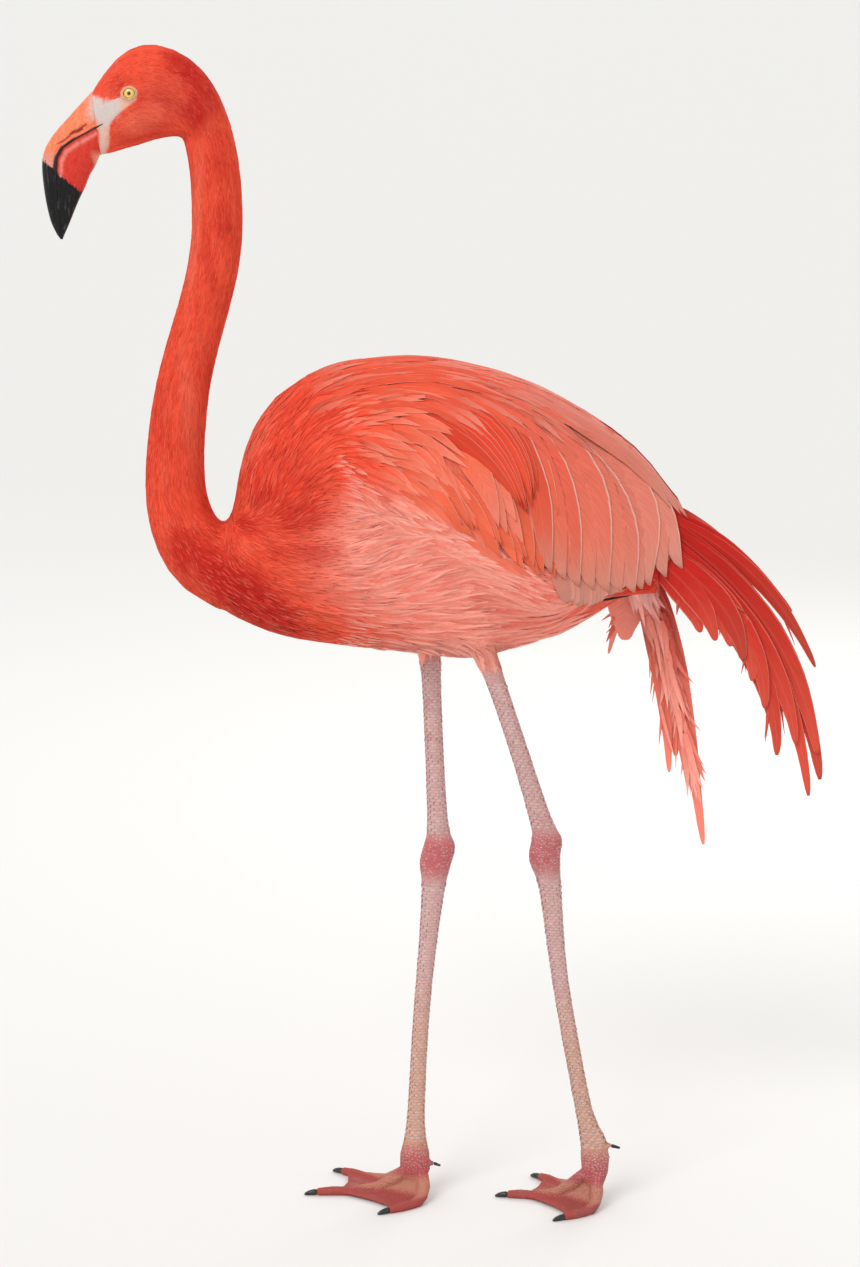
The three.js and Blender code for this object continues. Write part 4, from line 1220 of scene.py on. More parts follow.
# Wing feathers in the side view: root, bend and tip, each x and z, and width.
COVERTS_REAR = [
    (-12, 779, 17, 758, 42, 736, 18), (-4, 808, 24, 786, 43, 745, 18), (-14, 792, 10, 772, 30, 748, 17),
    (13, 792, 37, 769, 61, 735, 19), (26, 792, 51, 767, 72, 722, 20), (20, 776, 44, 752, 66, 716, 19),
    (41, 770, 64, 748, 91, 710, 21), (52, 779, 81, 733, 98, 712, 22), (40, 786, 66, 748, 82, 704, 20),
    (61, 774, 84, 736, 109, 692, 22),
]
PALE_COVERTS = [
    (13, 837, 54, 808, 69, 742, 28), (18, 832, 58, 800, 76, 736, 26), (24, 835, 62, 803, 86, 748, 26),
    (41, 816, 68, 789, 92, 728, 26),
]
ORANGE_ARCS = [
    (-17, 855, 58, 820, 91, 763, 17), (-17, 863, 65, 838, 95, 758, 16), (-13, 871, 78, 843, 98, 756, 16),
    (-6, 876, 88, 848, 100, 765, 15), (0, 879, 96, 846, 102, 773, 15), (11, 881, 102, 843, 105, 777, 14),
]
INNER_COVERTS = [
    (72, 800, 92, 752, 103, 702, 24), (82, 806, 101, 745, 113, 694, 26), (90, 812, 112, 745, 124, 688, 28),
    (92, 822, 120, 764, 134, 690, 28), (84, 846, 122, 806, 140, 706, 28), (76, 854, 110, 816, 126, 752, 24),
]
# Long rear feathers by the curve of their rear edges: five places, each x and z, and width.
REAR_FEATHERS = [
    (20, 884, 84, 852, 110, 808, 122, 762, 122, 696, 26),
    (53, 878, 117, 832, 142, 790, 152, 739, 150, 680, 32),
    (69, 877, 132, 842, 171, 795, 183, 745, 180, 672, 38),
    (100, 868, 164, 815, 197, 773, 211, 726, 207, 670, 38),
    (118, 864, 179, 819, 218, 784, 233, 739, 223, 676, 36),
    (137, 859, 195, 820, 227, 783, 249, 744, 256, 692, 26),
]
RIDGE_FEATHERS = [
    (60, 885, 138, 853, 198, 814, 230, 779, 244, 752, 15),
    (100, 877, 160, 847, 211, 806, 240, 771, 255, 744, 13),
    (130, 863, 180, 836, 222, 797, 248, 765, 262, 740, 12),
]
HEM_FEATHERS = [
    (112, 745, 128, 700, 138, 666, 17), (122, 745, 140, 700, 151, 661, 16),
    (136, 745, 156, 696, 164, 660, 16), (154, 745, 174, 690, 178, 666, 16),
    (172, 745, 190, 700, 193, 674, 17),
]


def wing_tops(rows, side, draw, rings, columns, sunk, raised, tilt, dome=0.03, pointed=False, step=0.0):
    """Rings of feathers that lie on the folded wing. Their rear edges stand over those behind."""
    rows = np.array(rows, float)
    t = (1 - (1 - np.linspace(0, 1, rings)) ** 1.5)[None, :, None]
    by_edge = rows.shape[1] > 7
    if by_edge:
        keyed = [np.column_stack([np.arange(5), row[:10].reshape(5, 2)]) for row in rows]
        middle = np.stack([between(key)(4 * t[0, :, 0])[:, 1:] for key in keyed])
        run = unit(np.gradient(middle, axis=1))
    else:
        root, bend, tip = (rows[:, None, i: i + 2] for i in (0, 2, 4))
        tip = tip + draw.normal(0, 1.2, tip.shape)
        middle = bezier(root, bend, tip, t)
        run = unit(bezier(root, bend, tip, t + 0.01) - bezier(root, bend, tip, t - 0.01))
    if pointed:
        share = np.minimum(0.6 + t, 1) * (1 - np.clip((t - 0.3) / 0.7, 0, 1) ** 1.8) ** 0.9
    else:
        narrow = np.clip((t - 0.6) / 0.4, 0, 1)
        blunt, early = (0.62, 2.0) if by_edge else (0.5, 2.2)
        share = (0.4 + 0.6 * np.minimum(1, t / 0.4)) * np.clip(1 - 0.985 * narrow**early, 0, 1) ** blunt
    s = across(columns)[None, None, :] / 2
    width = rows[:, -1][:, None, None] * share
    off = (s - by_edge / 2) * width
    order = step * np.arange(len(rows))[:, None, None]
    lift = order + mix(-sunk, raised, t) + s * tilt + dome * width * (1 - 4 * s * s)
    x = middle[..., 0:1] - run[..., 1:2] * off
    z = middle[..., 1:2] + run[..., 0:1] * off
    z = np.minimum(z, folded_at(x)[..., 1] - 1.5)
    return folded(x, z, lift, side)


def between_rows(rows, count):
    """More feathers than the rows name, spread evenly between them."""
    rows = np.array(rows, float)
    place = np.linspace(0, len(rows) - 1, count)
    i = np.minimum(place.astype(int), len(rows) - 2)
    return mix(rows[i], rows[i + 1], (place - i)[:, None])


def wing_bed():
    """Broad feathers deep in the wing, which close every gap between those above."""
    rows = []
    for i in range(14):
        x = -70 + i * 22
        top = folded_at(x)[1] - 8
        foot = max(wing_edge(x + 30) + 4, 676) if x < 170 else 694
        rows.append((x - 24, top, x + 22, mix(top, foot, 0.45), x + 18, foot, 40))
    return rows


class FLAMINGO_OT_wings(bpy.types.Operator):
    """Folded wings: coverts, long rear feathers and scapulars"""

    bl_idname = "flamingo.wings"
    bl_label = "Wings"

    def execute(self, context):
        feather_material("Wing Feathers", 52.0, 0.42, 0.05, 0.6, 0.3)
        orange, salmon, rose, hem = colours("wing_orange", "wing_salmon", "wing_rose", "hem")
        pink, edge, deep = colours("flank_pink", "pale_edge", "deep_red")
        warm, light = mix(orange, salmon, 0.6), mix(orange, salmon, 0.4)
        rear = np.linspace(0.06, 0.96, len(REAR_FEATHERS))[:, None] ** 0.75
        more_rear, hems = between_rows(REAR_FEATHERS, 11)[1::2], between_rows(HEM_FEATHERS, 13)
        # Rows, colours of bases and tips, how far roots are sunk and tips raised, tilt, strength of
        # the pale edges, dome, whether they are pointed, and the lift from each to the next.
        parts = (
            (wing_bed(), mix(salmon, orange, 0.5), rose, 6, -4, 0, 0.0, 0.03, False, 0),
            (REAR_FEATHERS, mix(orange, rose, rear), mix(light, mix(rose, hem, 0.5), rear),
             4, 3.2, 2.2, 0.8, 0.02, False, -0.45),
            (more_rear, mix(orange, rose, rear[1:]), mix(salmon, rose, rear[1:]),
             4, 2.6, 0.7, 0.0, 0.02, False, -0.45),
            (RIDGE_FEATHERS, mix(orange, rose, 0.8), mix(rose, hem, 0.6),
             1, 0.9, 1.5, 0.1, 0.04, True, 0.2),
            (hems, rose, hem, 5, 2.4, 1.1, 0.2, 0.03, False, -0.1),
            (INNER_COVERTS, warm, salmon, 5, 2.6, 2.4, 0.5, 0.03, True, -0.25),
            (PALE_COVERTS, mix(orange, salmon, 0.75), mix(salmon, pink, 0.3),
             5, 3, 1.6, 0.3, 0.03, True, -0.2),
            (between_rows(COVERTS_REAR, 15), warm, salmon, 4, 2.4, 2, 0.4, 0.04, True, -0.04),
            (between_rows(ORANGE_ARCS, 10), mix(deep, orange, 0.7), mix(orange, salmon, 0.3),
             4, 3.2, 3, 0.35, 0.04, True, -0.12),
        )
        rings = 11
        fading = 0.75 * smooth(0.62, 0.95, np.linspace(0, 1, rings))
        for seed, (name, side) in enumerate(SIDES, 41):
            draw = np.random.default_rng(seed)
            tops, tints, roots = [], [], []
            for rows, base, tip, sunk, raised, tilt, paled, dome, pointed, step in parts:
                rows = np.array(rows, float)
                shape = (len(rows), 3)
                tops.append(
                    wing_tops(rows, side, draw, rings, BROAD, sunk, raised, tilt, dome, pointed, step)
                )
                base = varied(np.broadcast_to(base, shape), draw, 0.07)
                tip = varied(np.broadcast_to(tip, shape), draw, 0.09)
                tint = blade_tint(base, tip, np.broadcast_to(edge, shape), rings, BROAD, 0.1, paled, 0.3)
                if rows.shape[1] > 7:
                    tint = mix(tint, hem, fading[None, :, None, None])
                tints.append(tint)
                roots.append((rows[:, :2] - (-160, 640)) / (420, 280))
            made = blades(
                f"wing_feathers_{name}", *(np.concatenate(lot) for lot in (tops, tints, roots)),
                flip=side == LEFT, lining=(0, -0.5 * side, 0),
            )
            dress(made, "coverts", "Wing Feathers", replaced=[f"wing_{name}"])
            shoulder(name, side, draw)
            scapulars(name, side, draw)
        return {"FINISHED"}


def shoulder(name, side, draw):
    """Small soft coverts that fan down and back over the front of the wing."""

    def chosen(p):
        x, y, z = p.T
        within = (z > wing_edge(x) + 2) & (z < folded_at(x)[:, 1] - 27) & (x < (855 - z) * 0.6 - 20)
        return within & (x > -104) & (y * side > 20)

    ground = GROUND["body"]
    roots = ground.scatter(chosen, evenly(13.0, 4.6), draw)
    count = len(roots)
    grown = smooth(-105, 0, roots[:, 0])
    length = mix(34, 60, grown) * draw.uniform(0.85, 1.15, count)
    width = mix(5.0, 10, grown) * draw.uniform(0.8, 1.2, count)
    profile = (0.5, 0.9, 1.0, 0.88, 0.64, 0.34, 0.0)
    grown = ground.grow(roots, length, -2.2, draw.uniform(0.3, 1.3, count), len(profile), draw, 0.1)
    orange, salmon, pink = colours("wing_orange", "wing_salmon", "flank_pink")
    base = varied(alike(mix(orange, salmon, 0.4), count), draw, 0.07)
    tip = varied(mix(salmon, pink, draw.uniform(0, 0.32, (count, 1))), draw, 0.05)
    vanes(f"shoulder_feathers_{name}", "coverts", "Wing Feathers", grown, width, profile, 5, 0.12,
          (base, tip, mix(tip, pink, 0.5)), (0.1, 0.35), unwrap(roots), 0.6, 0.8)


def scapulars(name, side, draw):
    """Long pointed feathers that run along the back and curve down over the wing."""

    def chosen(p):
        x, y, z = p.T
        band = mix(44, 20, smooth(-40, 130, x))
        return (z > folded_at(x)[:, 1] - band) & (x > -132) & (x < 96) & (y * side > -2)

    ground, rings = GROUND["body"], 11
    roots = ground.scatter(chosen, evenly(20.0, 4.2), draw)
    x, _, z = roots.T
    count = len(roots)
    length = draw.uniform(66, 112, count) * mix(1.0, 0.62, smooth(70, 210, x))
    length *= mix(0.6, 1.0, smooth(-135, -80, x))
    width = draw.uniform(6.0, 11, count)
    grown = ground.grow(roots, length, -1.8, draw.uniform(0.7, 1.9, count), rings, draw, 0.06)
    t = np.linspace(0, 1, rings)
    profile = np.minimum(0.5 + 2 * t, 1) * (1 - np.clip((t - 0.3) / 0.7, 0, 1) ** 1.7)
    orange, salmon, rose, hem = colours("wing_orange", "wing_salmon", "wing_rose", "hem")
    edge = colours("pale_edge")
    lane = blend(mix(orange, salmon, 0.25), rose, smooth(-20, 170, x))
    crest = smooth(16, 4, folded_at(x)[:, 1] - z) * smooth(-90, -20, x)
    greyed = np.where(draw.random(count) < 0.2 + 0.5 * crest, 0.45, 0.04)
    base = varied(mix(lane, orange, 0.4), draw)
    tip = varied(blend(lane, mix(edge, hem, 0.5), greyed), draw)
    vanes(f"scapular_feathers_{name}", "coverts", "Wing Feathers", grown, width, profile, BROAD, 0.08,
          (base, tip, mix(tip, edge, 0.6)), (0.1, 0.6), unwrap(roots), 0.8, 0.65)


# ---- plumes, primaries and tail

# Long trailing tertials: tip x and z, bend x and z, width, distance of the tip from the middle plane.
TRAILING_LEFT = [
    (370, 643, 304, 727, 11, 20), (394, 587, 343, 701, 15, 28), (401, 470, 377, 642, 25, 35),
    (397, 498, 372, 646, 24, 37), (389, 454, 368, 633, 20, 40), (374, 510, 362, 622, 22, 42),
    (355, 498, 358, 606, 22, 45), (341, 548, 346, 632, 22, 46), (328, 576, 332, 652, 22, 47),
    (318, 598, 314, 660, 24, 47), (306, 612, 296, 666, 24, 47), (290, 618, 280, 668, 22, 46),
    (275, 626, 262, 672, 22, 44),
]
TRAILING_RIGHT = [
    (330, 672, 294, 716, 18, 22), (330, 642, 304, 700, 20, 32), (300, 646, 280, 690, 22, 39),
    (267, 639, 257, 678, 22, 42),
]
DROOPING = [
    (288, 383, 257, 616, 20, 33), (269, 461, 250, 602, 22, 29), (258, 478, 243, 604, 24, 37),
    (251, 461, 247, 580, 16, 33), (203, 602, 205, 640, 36, 36), (186, 588, 198, 632, 9, 33),
]
SUNK = 15


def upright(ways, axis, sign):
    """The way out of feathers that run these ways, as near as it comes to one axis."""
    ups = np.zeros_like(ways)
    ups[..., axis] = sign
    return square_to(ups, ways)


def plume_curves(rows, side, first, last, t):
    """Middle lines of long plumes that hang in space from the folded wing, with their ways out and
    ahead, at these shares of their length."""
    share = np.linspace(0, 1, len(rows))
    root = mix(np.array(first, float), np.array(last, float), share[:, None])
    depth = folded_half(root[:, 0], root[:, 1], -SUNK)
    roots = np.stack([root[:, 0], side * depth, root[:, 1]], 1)
    bends = np.stack([rows[:, 2], side * (depth + rows[:, 5]) / 2, rows[:, 3]], 1)
    tips = np.stack([rows[:, 0], side * rows[:, 5], rows[:, 1]], 1)
    curve = [p[:, None] for p in (roots, bends, tips)]
    ways = unit(bezier(*curve, t + 0.01) - bezier(*curve, t - 0.01))
    return bezier(*curve, t), upright(ways, 1, side), ways


def plume_share(t):
    """Share of a plume's full width along it: broad in the middle and drawn out towards its tip."""
    return np.interp(t, (0, 0.25, 0.5, 0.72, 0.88, 0.97, 1), (0.5, 0.9, 1, 0.74, 0.44, 0.31, 0.12))


def fringe(rows, side, first, last, draw):
    """Loose barbs that leave the edges of plumes, pointing on towards their tips."""
    rows = np.repeat(rows, 2, axis=0)
    t = draw.uniform(0.32, 0.78, len(rows))[:, None, None]
    edge = draw.choice([-1.0, 1.0], len(rows), p=[0.12, 0.88])[:, None] * -side
    lines, ups = [], []
    for step, out in ((0.0, 0.1), (0.07, 0.6), (0.13, 0.95), (0.2, 1.3)):
        spot, up, way = plume_curves(rows, side, first, last, np.minimum(t + step, 1.05))
        aside = unit(np.cross(way, up))[:, 0]
        half = 0.5 * rows[:, 4:5] * plume_share(t[:, :, 0])
        lines.append(spot[:, 0] + aside * half * edge * out + up[:, 0] * (0.8 - out * 0.6))
        ups.append(up[:, 0])
    lines = np.stack(lines, 1)
    return lines, np.stack(ups, 1), unit(np.gradient(lines, axis=1))


class FLAMINGO_OT_plumes(bpy.types.Operator):
    """Scarlet tertials that trail behind the folded wings"""

    bl_idname = "flamingo.plumes"
    bl_label = "Trailing plumes"

    def execute(self, context):
        feather_material("Plumes", 95.0, 0.55, 0.06, 0.55, 0.4)
        groups = (
            ("plumes_left", TRAILING_LEFT, LEFT, (232, 750), (216, 706), "tertials_left"),
            ("plumes_right", TRAILING_RIGHT, RIGHT, (232, 750), (216, 712), "tertials_right"),
            ("plumes_drooping", DROOPING, RIGHT, (224, 680), (200, 676), "tertials_right_drooping"),
        )
        scarlet, deep, coral, downy = colours("scarlet", "deep_red", "coral", "downy")
        t = 1 - (1 - np.linspace(0, 1, 18)) ** 1.4
        for seed, (name, table, side, first, last, node) in enumerate(groups, 50):
            draw = np.random.default_rng(seed)
            drooping = table is DROOPING
            rows = np.array(table, float)
            rows[:, 4] *= 1.15
            count = len(rows)
            lines, ups, ways = plume_curves(rows, side, first, last, t[None, :, None])
            lifted = lines + ups * (np.arange(count) % 2 * 1.6)[:, None, None]
            pale = mix(coral, downy, 0.4) if drooping else mix(scarlet, coral, 0.25)
            base = varied(alike(mix(scarlet, deep, 0.0 if drooping else 0.8), count), draw)
            tip = varied(alike(pale, count), draw, 0.1)
            if drooping:
                # The two small rounded feathers are pale salmon pink, made paler and brighter than their
                # own colour. This is painted light that makes up for the shade of the body falling on them.
                base[4:] = tip[4:] = mix(coral, colours("flank_pink"), 0.9) * 1.08
            uv = (lines[:, 0, ::2] - (160, 660)) / 120
            vanes(name, "scarlet", "Plumes", (lifted, ups, ways), rows[:, 4], plume_share(t), BROAD, 0.12,
                  (base, tip, alike(mix(coral, downy, 0.5), count)), (0.1, 0.6, 0.7), uv, replaced=[node])
            grown = fringe(rows, side, first, last, draw)
            count = 2 * count
            width = draw.uniform(2.5, 4.5, count)
            base = varied(alike(mix(scarlet, pale, 0.5), count), draw, 0.1)
            tip = varied(alike(mix(pale, coral, 0.3), count), draw, 0.1)
            uv = (grown[0][:, 0, ::2] - (160, 380)) / (260, 380)
            vanes(f"fringe_{name}", "scarlet", "Plumes", grown, width, (0.7, 1.0, 0.7, 0.15), 3, 0.2,
                  (base, tip, tip), (0.1,), uv)
        return {"FINISHED"}


class FLAMINGO_OT_down(bpy.types.Operator):
    """Loose pale down that hangs over the drooping plumes"""

    bl_idname = "flamingo.down"
    bl_label = "Hanging down"

    def execute(self, context):
        draw = np.random.default_rng(57)
        count = 170
        profile = (0.5, 1.0, 0.95, 0.75, 0.45, 0.0)
        path = [np.array(p, float) for p in ((213, 33, 687), (248, 34, 610), (283, 33, 398))]
        share = draw.random(count) ** 1.5 * 0.8
        t = share[:, None]
        run = unit(bezier(*path, t + 0.01) - bezier(*path, t - 0.01))
        aside = np.stack([-run[:, 2], np.zeros(count), run[:, 0]], 1)
        wide = mix(21, 4, t**0.7)
        start = bezier(*path, t) + aside * draw.normal(0, 0.5, (count, 1)) * wide
        start[:, 1] -= draw.uniform(-4, 9, count)
        puff = smooth(0.28, 0.0, share)
        start[:, 1] -= 9 * puff
        length = (mix(46, 70, share) * draw.uniform(0.7, 1.1, count) * (1 - 0.4 * puff))[:, None]
        end = start + unit(run + aside * draw.normal(0, 0.14, (count, 1))) * length
        bend = start + run * length * 0.5
        steps = np.linspace(0, 1, len(profile))[None, :, None]
        lines = bezier(start[:, None], bend[:, None], end[:, None], steps)
        ways = unit(np.gradient(lines, axis=1))
        width = draw.uniform(3.5, 7.5, count) * (1 + 0.6 * puff)
        redder = smooth(2, 10, (start - bezier(*path, t)) @ np.array([1.0, 0, 0.2]))
        # The puff at the top is whitened: partly its own pale pink, partly painted light that makes up for
        # the shade of the wing over it.
        light = blend(colours("flank_pink"), 1.0, 0.4 * puff)
        tip = varied(blend(light, "scarlet", 0.8 * redder), draw)
        base = blend(tip, "wing_orange", 0.4 - 0.3 * puff)
        uv = (start[:, ::2] - (200, 380)) / (120, 330)
        vanes("hanging_down", "scarlet", "Soft Feathers", (lines, upright(ways, 1, -1), ways), width,
              profile, 3, 0.2, (base, tip, base), (0.1, 0.35), uv, softness=0.5)
        return {"FINISHED"}


class FLAMINGO_OT_primaries(bpy.types.Operator):
    """Black primaries, just seen below the folded wings"""

    bl_idname = "flamingo.primaries"
    bl_label = "Primaries"

    def execute(self, context):
        feather_material("Black Feathers", 70.0, 0.5, 0.1, 0.45, 0.4, 0.05)
        first = np.array([132, 684, 164, 675, 208, 672, 9.0])
        last = np.array([136, 668, 170, 658, 212, 667, 9.0])
        rows = mix(first, last, np.linspace(0, 1, 5)[:, None])
        dark = alike(colours("horn"), len(rows))
        uv = (rows[:, :2] - (100, 640)) / (120, 100)
        for name, side in SIDES:
            draw = np.random.default_rng(61)
            tops = wing_tops(rows, side, draw, 9, 5, 20, -16, 1)
            tint = blade_tint(dark, dark, dark, 9, 5)
            made = blades(f"primary_feathers_{name}", tops, tint, uv, flip=side == LEFT)
            dress(made, "primaries", "Black Feathers", replaced=[f"primaries_{name}"])
        return {"FINISHED"}


class FLAMINGO_OT_tail(bpy.types.Operator):
    """Short tail feathers, fanned under the folded wings"""

    bl_idname = "flamingo.tail"
    bl_label = "Tail"

    def execute(self, context):
        draw = np.random.default_rng(71)
        count = 12
        t = np.linspace(0, 1, 10)
        share = np.linspace(-1, 1, count)[:, None]
        x = 236 + mix(-10, mix(90, 74, np.abs(share)), t)
        y = share * mix(6, 20, t)
        z = 711 + 6 - np.abs(share) * 4 - 44 * t**1.4
        lines = np.stack([x, y, z], -1)
        ways = unit(np.gradient(lines, axis=1))
        blunt = np.sqrt(1 - 0.95 * np.clip((t - 0.6) / 0.4, 0, 1) ** 2)
        profile = (0.5 + 0.5 * np.minimum(1, t / 0.4)) * blunt
        base = varied(alike(colours("wing_orange"), count), draw)
        tip = varied(alike(colours("wing_rose"), count), draw)
        uv = np.column_stack([0.5 + share * 0.4, np.full(count, 0.5)])
        vanes("tail_feathers", "scarlet", "Plumes", (lines, upright(ways, 2, 1), ways),
              np.full(count, 18.0), profile, 7, 0.12, (base, tip, tip), (0.2,), uv, replaced=["tail"])
        return {"FINISHED"}


# ---- bill, eyes and claws


def crossing(low, top):
    """Share of the way from the lower edge to the culmen where the mouth line crosses."""
    line = np.array(MOUTH_LINE)
    for a, b in zip(line[:-1], line[1:]):
        d, e = top - low, b - a
        cross = d[0] * e[1] - d[1] * e[0]
        if abs(cross) < 1e-9:
            continue
        s = ((a[0] - low[0]) * e[1] - (a[1] - low[1]) * e[0]) / cross
        t = ((a[0] - low[0]) * d[1] - (a[1] - low[1]) * d[0]) / cross
        if 0 <= s <= 1 and -0.001 <= t <= 1.001:
            return s
    return 0.5


def bill_half(upper):
    """Rings of one half of the bill, from its base to its tip, and how near each point is to the mouth."""
    rings, sides = 190, 48
    rows = bill_at(np.linspace(0, 6.97, rings))
    sign, end = (1, math.pi / 2) if upper else (-1, -math.pi / 2)
    points, lip = [], []
    for row in rows:
        top, low, half = np.array(row[1:3]), np.array(row[3:5]), row[5]
        tall = np.linalg.norm(top - low)
        mouth = math.asin(np.clip(2 * crossing(low, top) - 1, -0.95, 0.95))
        start = mouth + sign * min(0.12 / max(tall / 2 * math.cos(mouth), 0.5), 0.1)
        j = np.linspace(-1, 1, sides + 1)
        angle = mix(start, end, 1 - np.abs(j))
        from_lip = np.abs(angle - start) * tall / 2
        y = np.sign(j) * half * np.cos(angle)
        if upper:
            y = y * (1 - 0.10 * np.exp(-(((from_lip - 4.0) / 2.2) ** 2)))
        else:
            y = y * (1 + 0.07 * np.exp(-(((from_lip - 1.6) / 1.7) ** 2)))
        share = np.append((1 + np.sin(angle)) / 2, (1 + math.sin(start)) / 2 + min(1.4 / tall, 0.12))
        spot = low + (top - low) * share[:, None]
        points.append(np.stack([spot[:, 0], np.append(y, 0), spot[:, 1]], 1))
        lip.append(np.append(from_lip, 0))
    inner = points[0] * (1, 0.93, 1) + (3.0, 0, 0)
    inner[:, 2] += (1137 - inner[:, 2]) * 0.05
    return np.array([inner] + points), np.array([lip[0]] + lip)


def recalculated(made):
    """Turns every face of a closed mesh outwards."""
    only(made)
    bpy.ops.object.mode_set(mode="EDIT")
    bpy.ops.mesh.select_all(action="SELECT")
    bpy.ops.mesh.normals_make_consistent(inside=False)
    bpy.ops.object.mode_set(mode="OBJECT")


def nostril_share(points, length=11.5, height=1.7, ahead=0.0):
    """1 in the middle of the slit nostrils, 0 outside them."""
    dip = math.radians(33.5)
    dx, dz = points[:, 0] + 349.5 + ahead, points[:, 2] - 1130 + ahead * 0.72
    along = dx * math.cos(dip) + dz * math.sin(dip)
    aside = dz * math.cos(dip) - dx * math.sin(dip) - 0.012 * along**2
    return np.clip(1 - (along / length) ** 2 - (aside / height) ** 2, 0, 1) ** 0.5


def bill_colour(points, lip, upper):
    """Colours of one half of the bill before its black tip."""
    x, _, z = points.T
    from_base = np.hypot(x + 334, (z - 1150) * 0.45)
    fleck = smooth(0.5, 1.1, speckle(points, 5, 15))
    bill, face, low, coral, deep = colours("bill", "face", "lower_bill", "coral", "deep_red")
    if upper:
        # The slit nostrils, and the groove that runs on from them towards the tip, are painted dark. This
        # is painted shade in hollows that the bill's mesh is also dented for.
        groove = np.maximum(nostril_share(points), 0.55 * nostril_share(points, 13, 1.0, 14))
        layers = (
            ("iris", 0.3 * fleck),
            (coral, 0.6 * smooth(9, 4, lip)),
            (mix(bill, face, 0.7), smooth(12, 0, from_base) * smooth(4, 9, lip)),
            (mix(face, low, 0.4), 0.6 * smooth(1112, 1098, z)),
            (deep * 0.4, 0.8 * smooth(0, 0.6, groove)),
        )
        width = mix(1.3, 4.4, smooth(1128, 1096, z))
    else:
        rear = smooth(-340, -334, x + 0.2 * (z - 1104)) * smooth(5, 9, lip) * smooth(1112, 1100, z)
        layers = (
            ("flank_pink", 0.55 * smooth(9, 5, lip) * smooth(2.5, 5, lip)),
            (deep, 0.35 * fleck),
            (mix(colours("lid"), coral, 0.35), 0.85 * rear),
        )
        width = 1.3
    tint = alike(bill if upper else low, len(points))
    for other, share in (*layers, ("horn", 0.96 * smooth(width + 0.5, width - 0.4, lip))):
        tint = blend(tint, other, share)
    return tint


class FLAMINGO_OT_bill(bpy.types.Operator):
    """Bent bill in two halves, with slit nostrils"""

    bl_idname = "flamingo.bill"
    bl_label = "Bill"

    def execute(self, context):
        bill_material()
        for name, node, upper in (("bill_top", "bill_upper", True), ("bill_bottom", "bill_lower", False)):
            points, lip = bill_half(upper)
            rings, sides, _ = points.shape
            flat = points.reshape(-1, 3)
            tint = bill_colour(flat, lip.reshape(-1), upper)
            if upper:
                groove = 2.6 * nostril_share(flat) + 0.8 * nostril_share(flat, 13, 1.4, 14)
                flat[:, 1] -= np.sign(flat[:, 1]) * groove
            made = mesh_object(name, flat, tube_faces(rings, sides), tint)
            recalculated(made)
            dress(made, "bill", "Bill Horn", replaced=[node])
        mouth_corners()
        return {"FINISHED"}


def mouth_corners():
    """The mouth line runs on over the skin behind the bill, as a dark crease on each side."""
    rings = 9
    along = np.linspace(0, 1, rings)
    line = mix(np.array([-341.0, 1127.6]), np.array([-325.0, 1136.0]), along[:, None])
    spots = np.concatenate([np.insert(line, 1, 40.0 * side, axis=1) for _, side in SIDES])
    places, ups = GROUND["skin"].nearest(spots * (1, 0.5, 1))
    places[:, ::2] = spots[:, ::2]
    places, ups = (values.reshape(2, rings, 3) for values in (places, ups))
    ways = unit(np.gradient(places, axis=1))
    profile = np.interp(along, (0, 0.6, 1), (1, 0.9, 0.3))
    horn = colours("horn")
    plain_material("Mouth Line", horn * 2, horn, 400, 0.2, 0.6)
    recalculated(vanes(
        "mouth_corners", "bill", "Mouth Line", (places + ups * 0.25, ups, ways), np.full(2, 2.0), profile,
        5, 0.2, [alike(horn, 2)] * 3, (), np.full((2, 2), 0.5), 0.4,
    ))


class FLAMINGO_OT_eyes(bpy.types.Operator):
    """Eyes with their lids, set in the head"""

    bl_idname = "flamingo.eyes"
    bl_label = "Eyes"

    def execute(self, context):
        shade = colours("lid")
        plain_material("Eyelid", shade, shade * 0.6, 700, 0.5, 0.5)
        upright_turn = (math.radians(90), 0, 0)
        for name, side in SIDES:
            low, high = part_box(f"eye_{name}")
            centre, radius = (low + high) / 2, (high.x - low.x) / 2
            if name == "left":
                eye_material(centre)
            bpy.ops.object.select_all(action="DESELECT")
            bpy.ops.mesh.primitive_uv_sphere_add(
                segments=48, ring_count=32, radius=radius, location=centre, rotation=upright_turn
            )
            settled(f"eyeball_{name}", "eye", "Eye", [f"eye_{name}"])
            beside = np.array([[centre.x / MM - SHIFT, side * 40, centre.z / MM]])
            surface = GROUND["skin"].nearest(beside)[0][0, 1]
            for lid, spread, thick, out in (("rim", 6.0, 0.75, 1.0), ("fold", 7.0, 0.75, 0.2)):
                bpy.ops.object.select_all(action="DESELECT")
                bpy.ops.mesh.primitive_torus_add(
                    major_segments=56, minor_segments=12, major_radius=spread * MM, minor_radius=thick * MM,
                    location=(centre.x, (surface + side * out) * MM, centre.z), rotation=upright_turn,
                )
                shape_lid(settled(f"eyelid_{lid}_{name}", "leg_skin", "Eyelid"), centre, side)
        return {"FINISHED"}


def shape_lid(ring, centre, side):
    """Makes a lid an almond that follows the head, higher at the back than at the front."""
    for vertex in ring.data.vertices:
        dx, dz = vertex.co.x - centre.x, vertex.co.z - centre.z
        vertex.co.x = centre.x + dx * 1.1
        vertex.co.z = centre.z + dz * 0.93 + 0.06 * dx
        vertex.co.y -= side * 0.03 * abs(dx)


def settled(name, slot, finish, replaced=()):
    """Puts the place of the newest piece into its mesh, smooths it, and names and dresses it."""
    made = bpy.context.object
    made.name = made.data.name = name
    bpy.ops.object.transform_apply(location=True, rotation=True, scale=True)
    bpy.ops.object.shade_smooth()
    return dress(made, slot, finish, replaced=replaced)


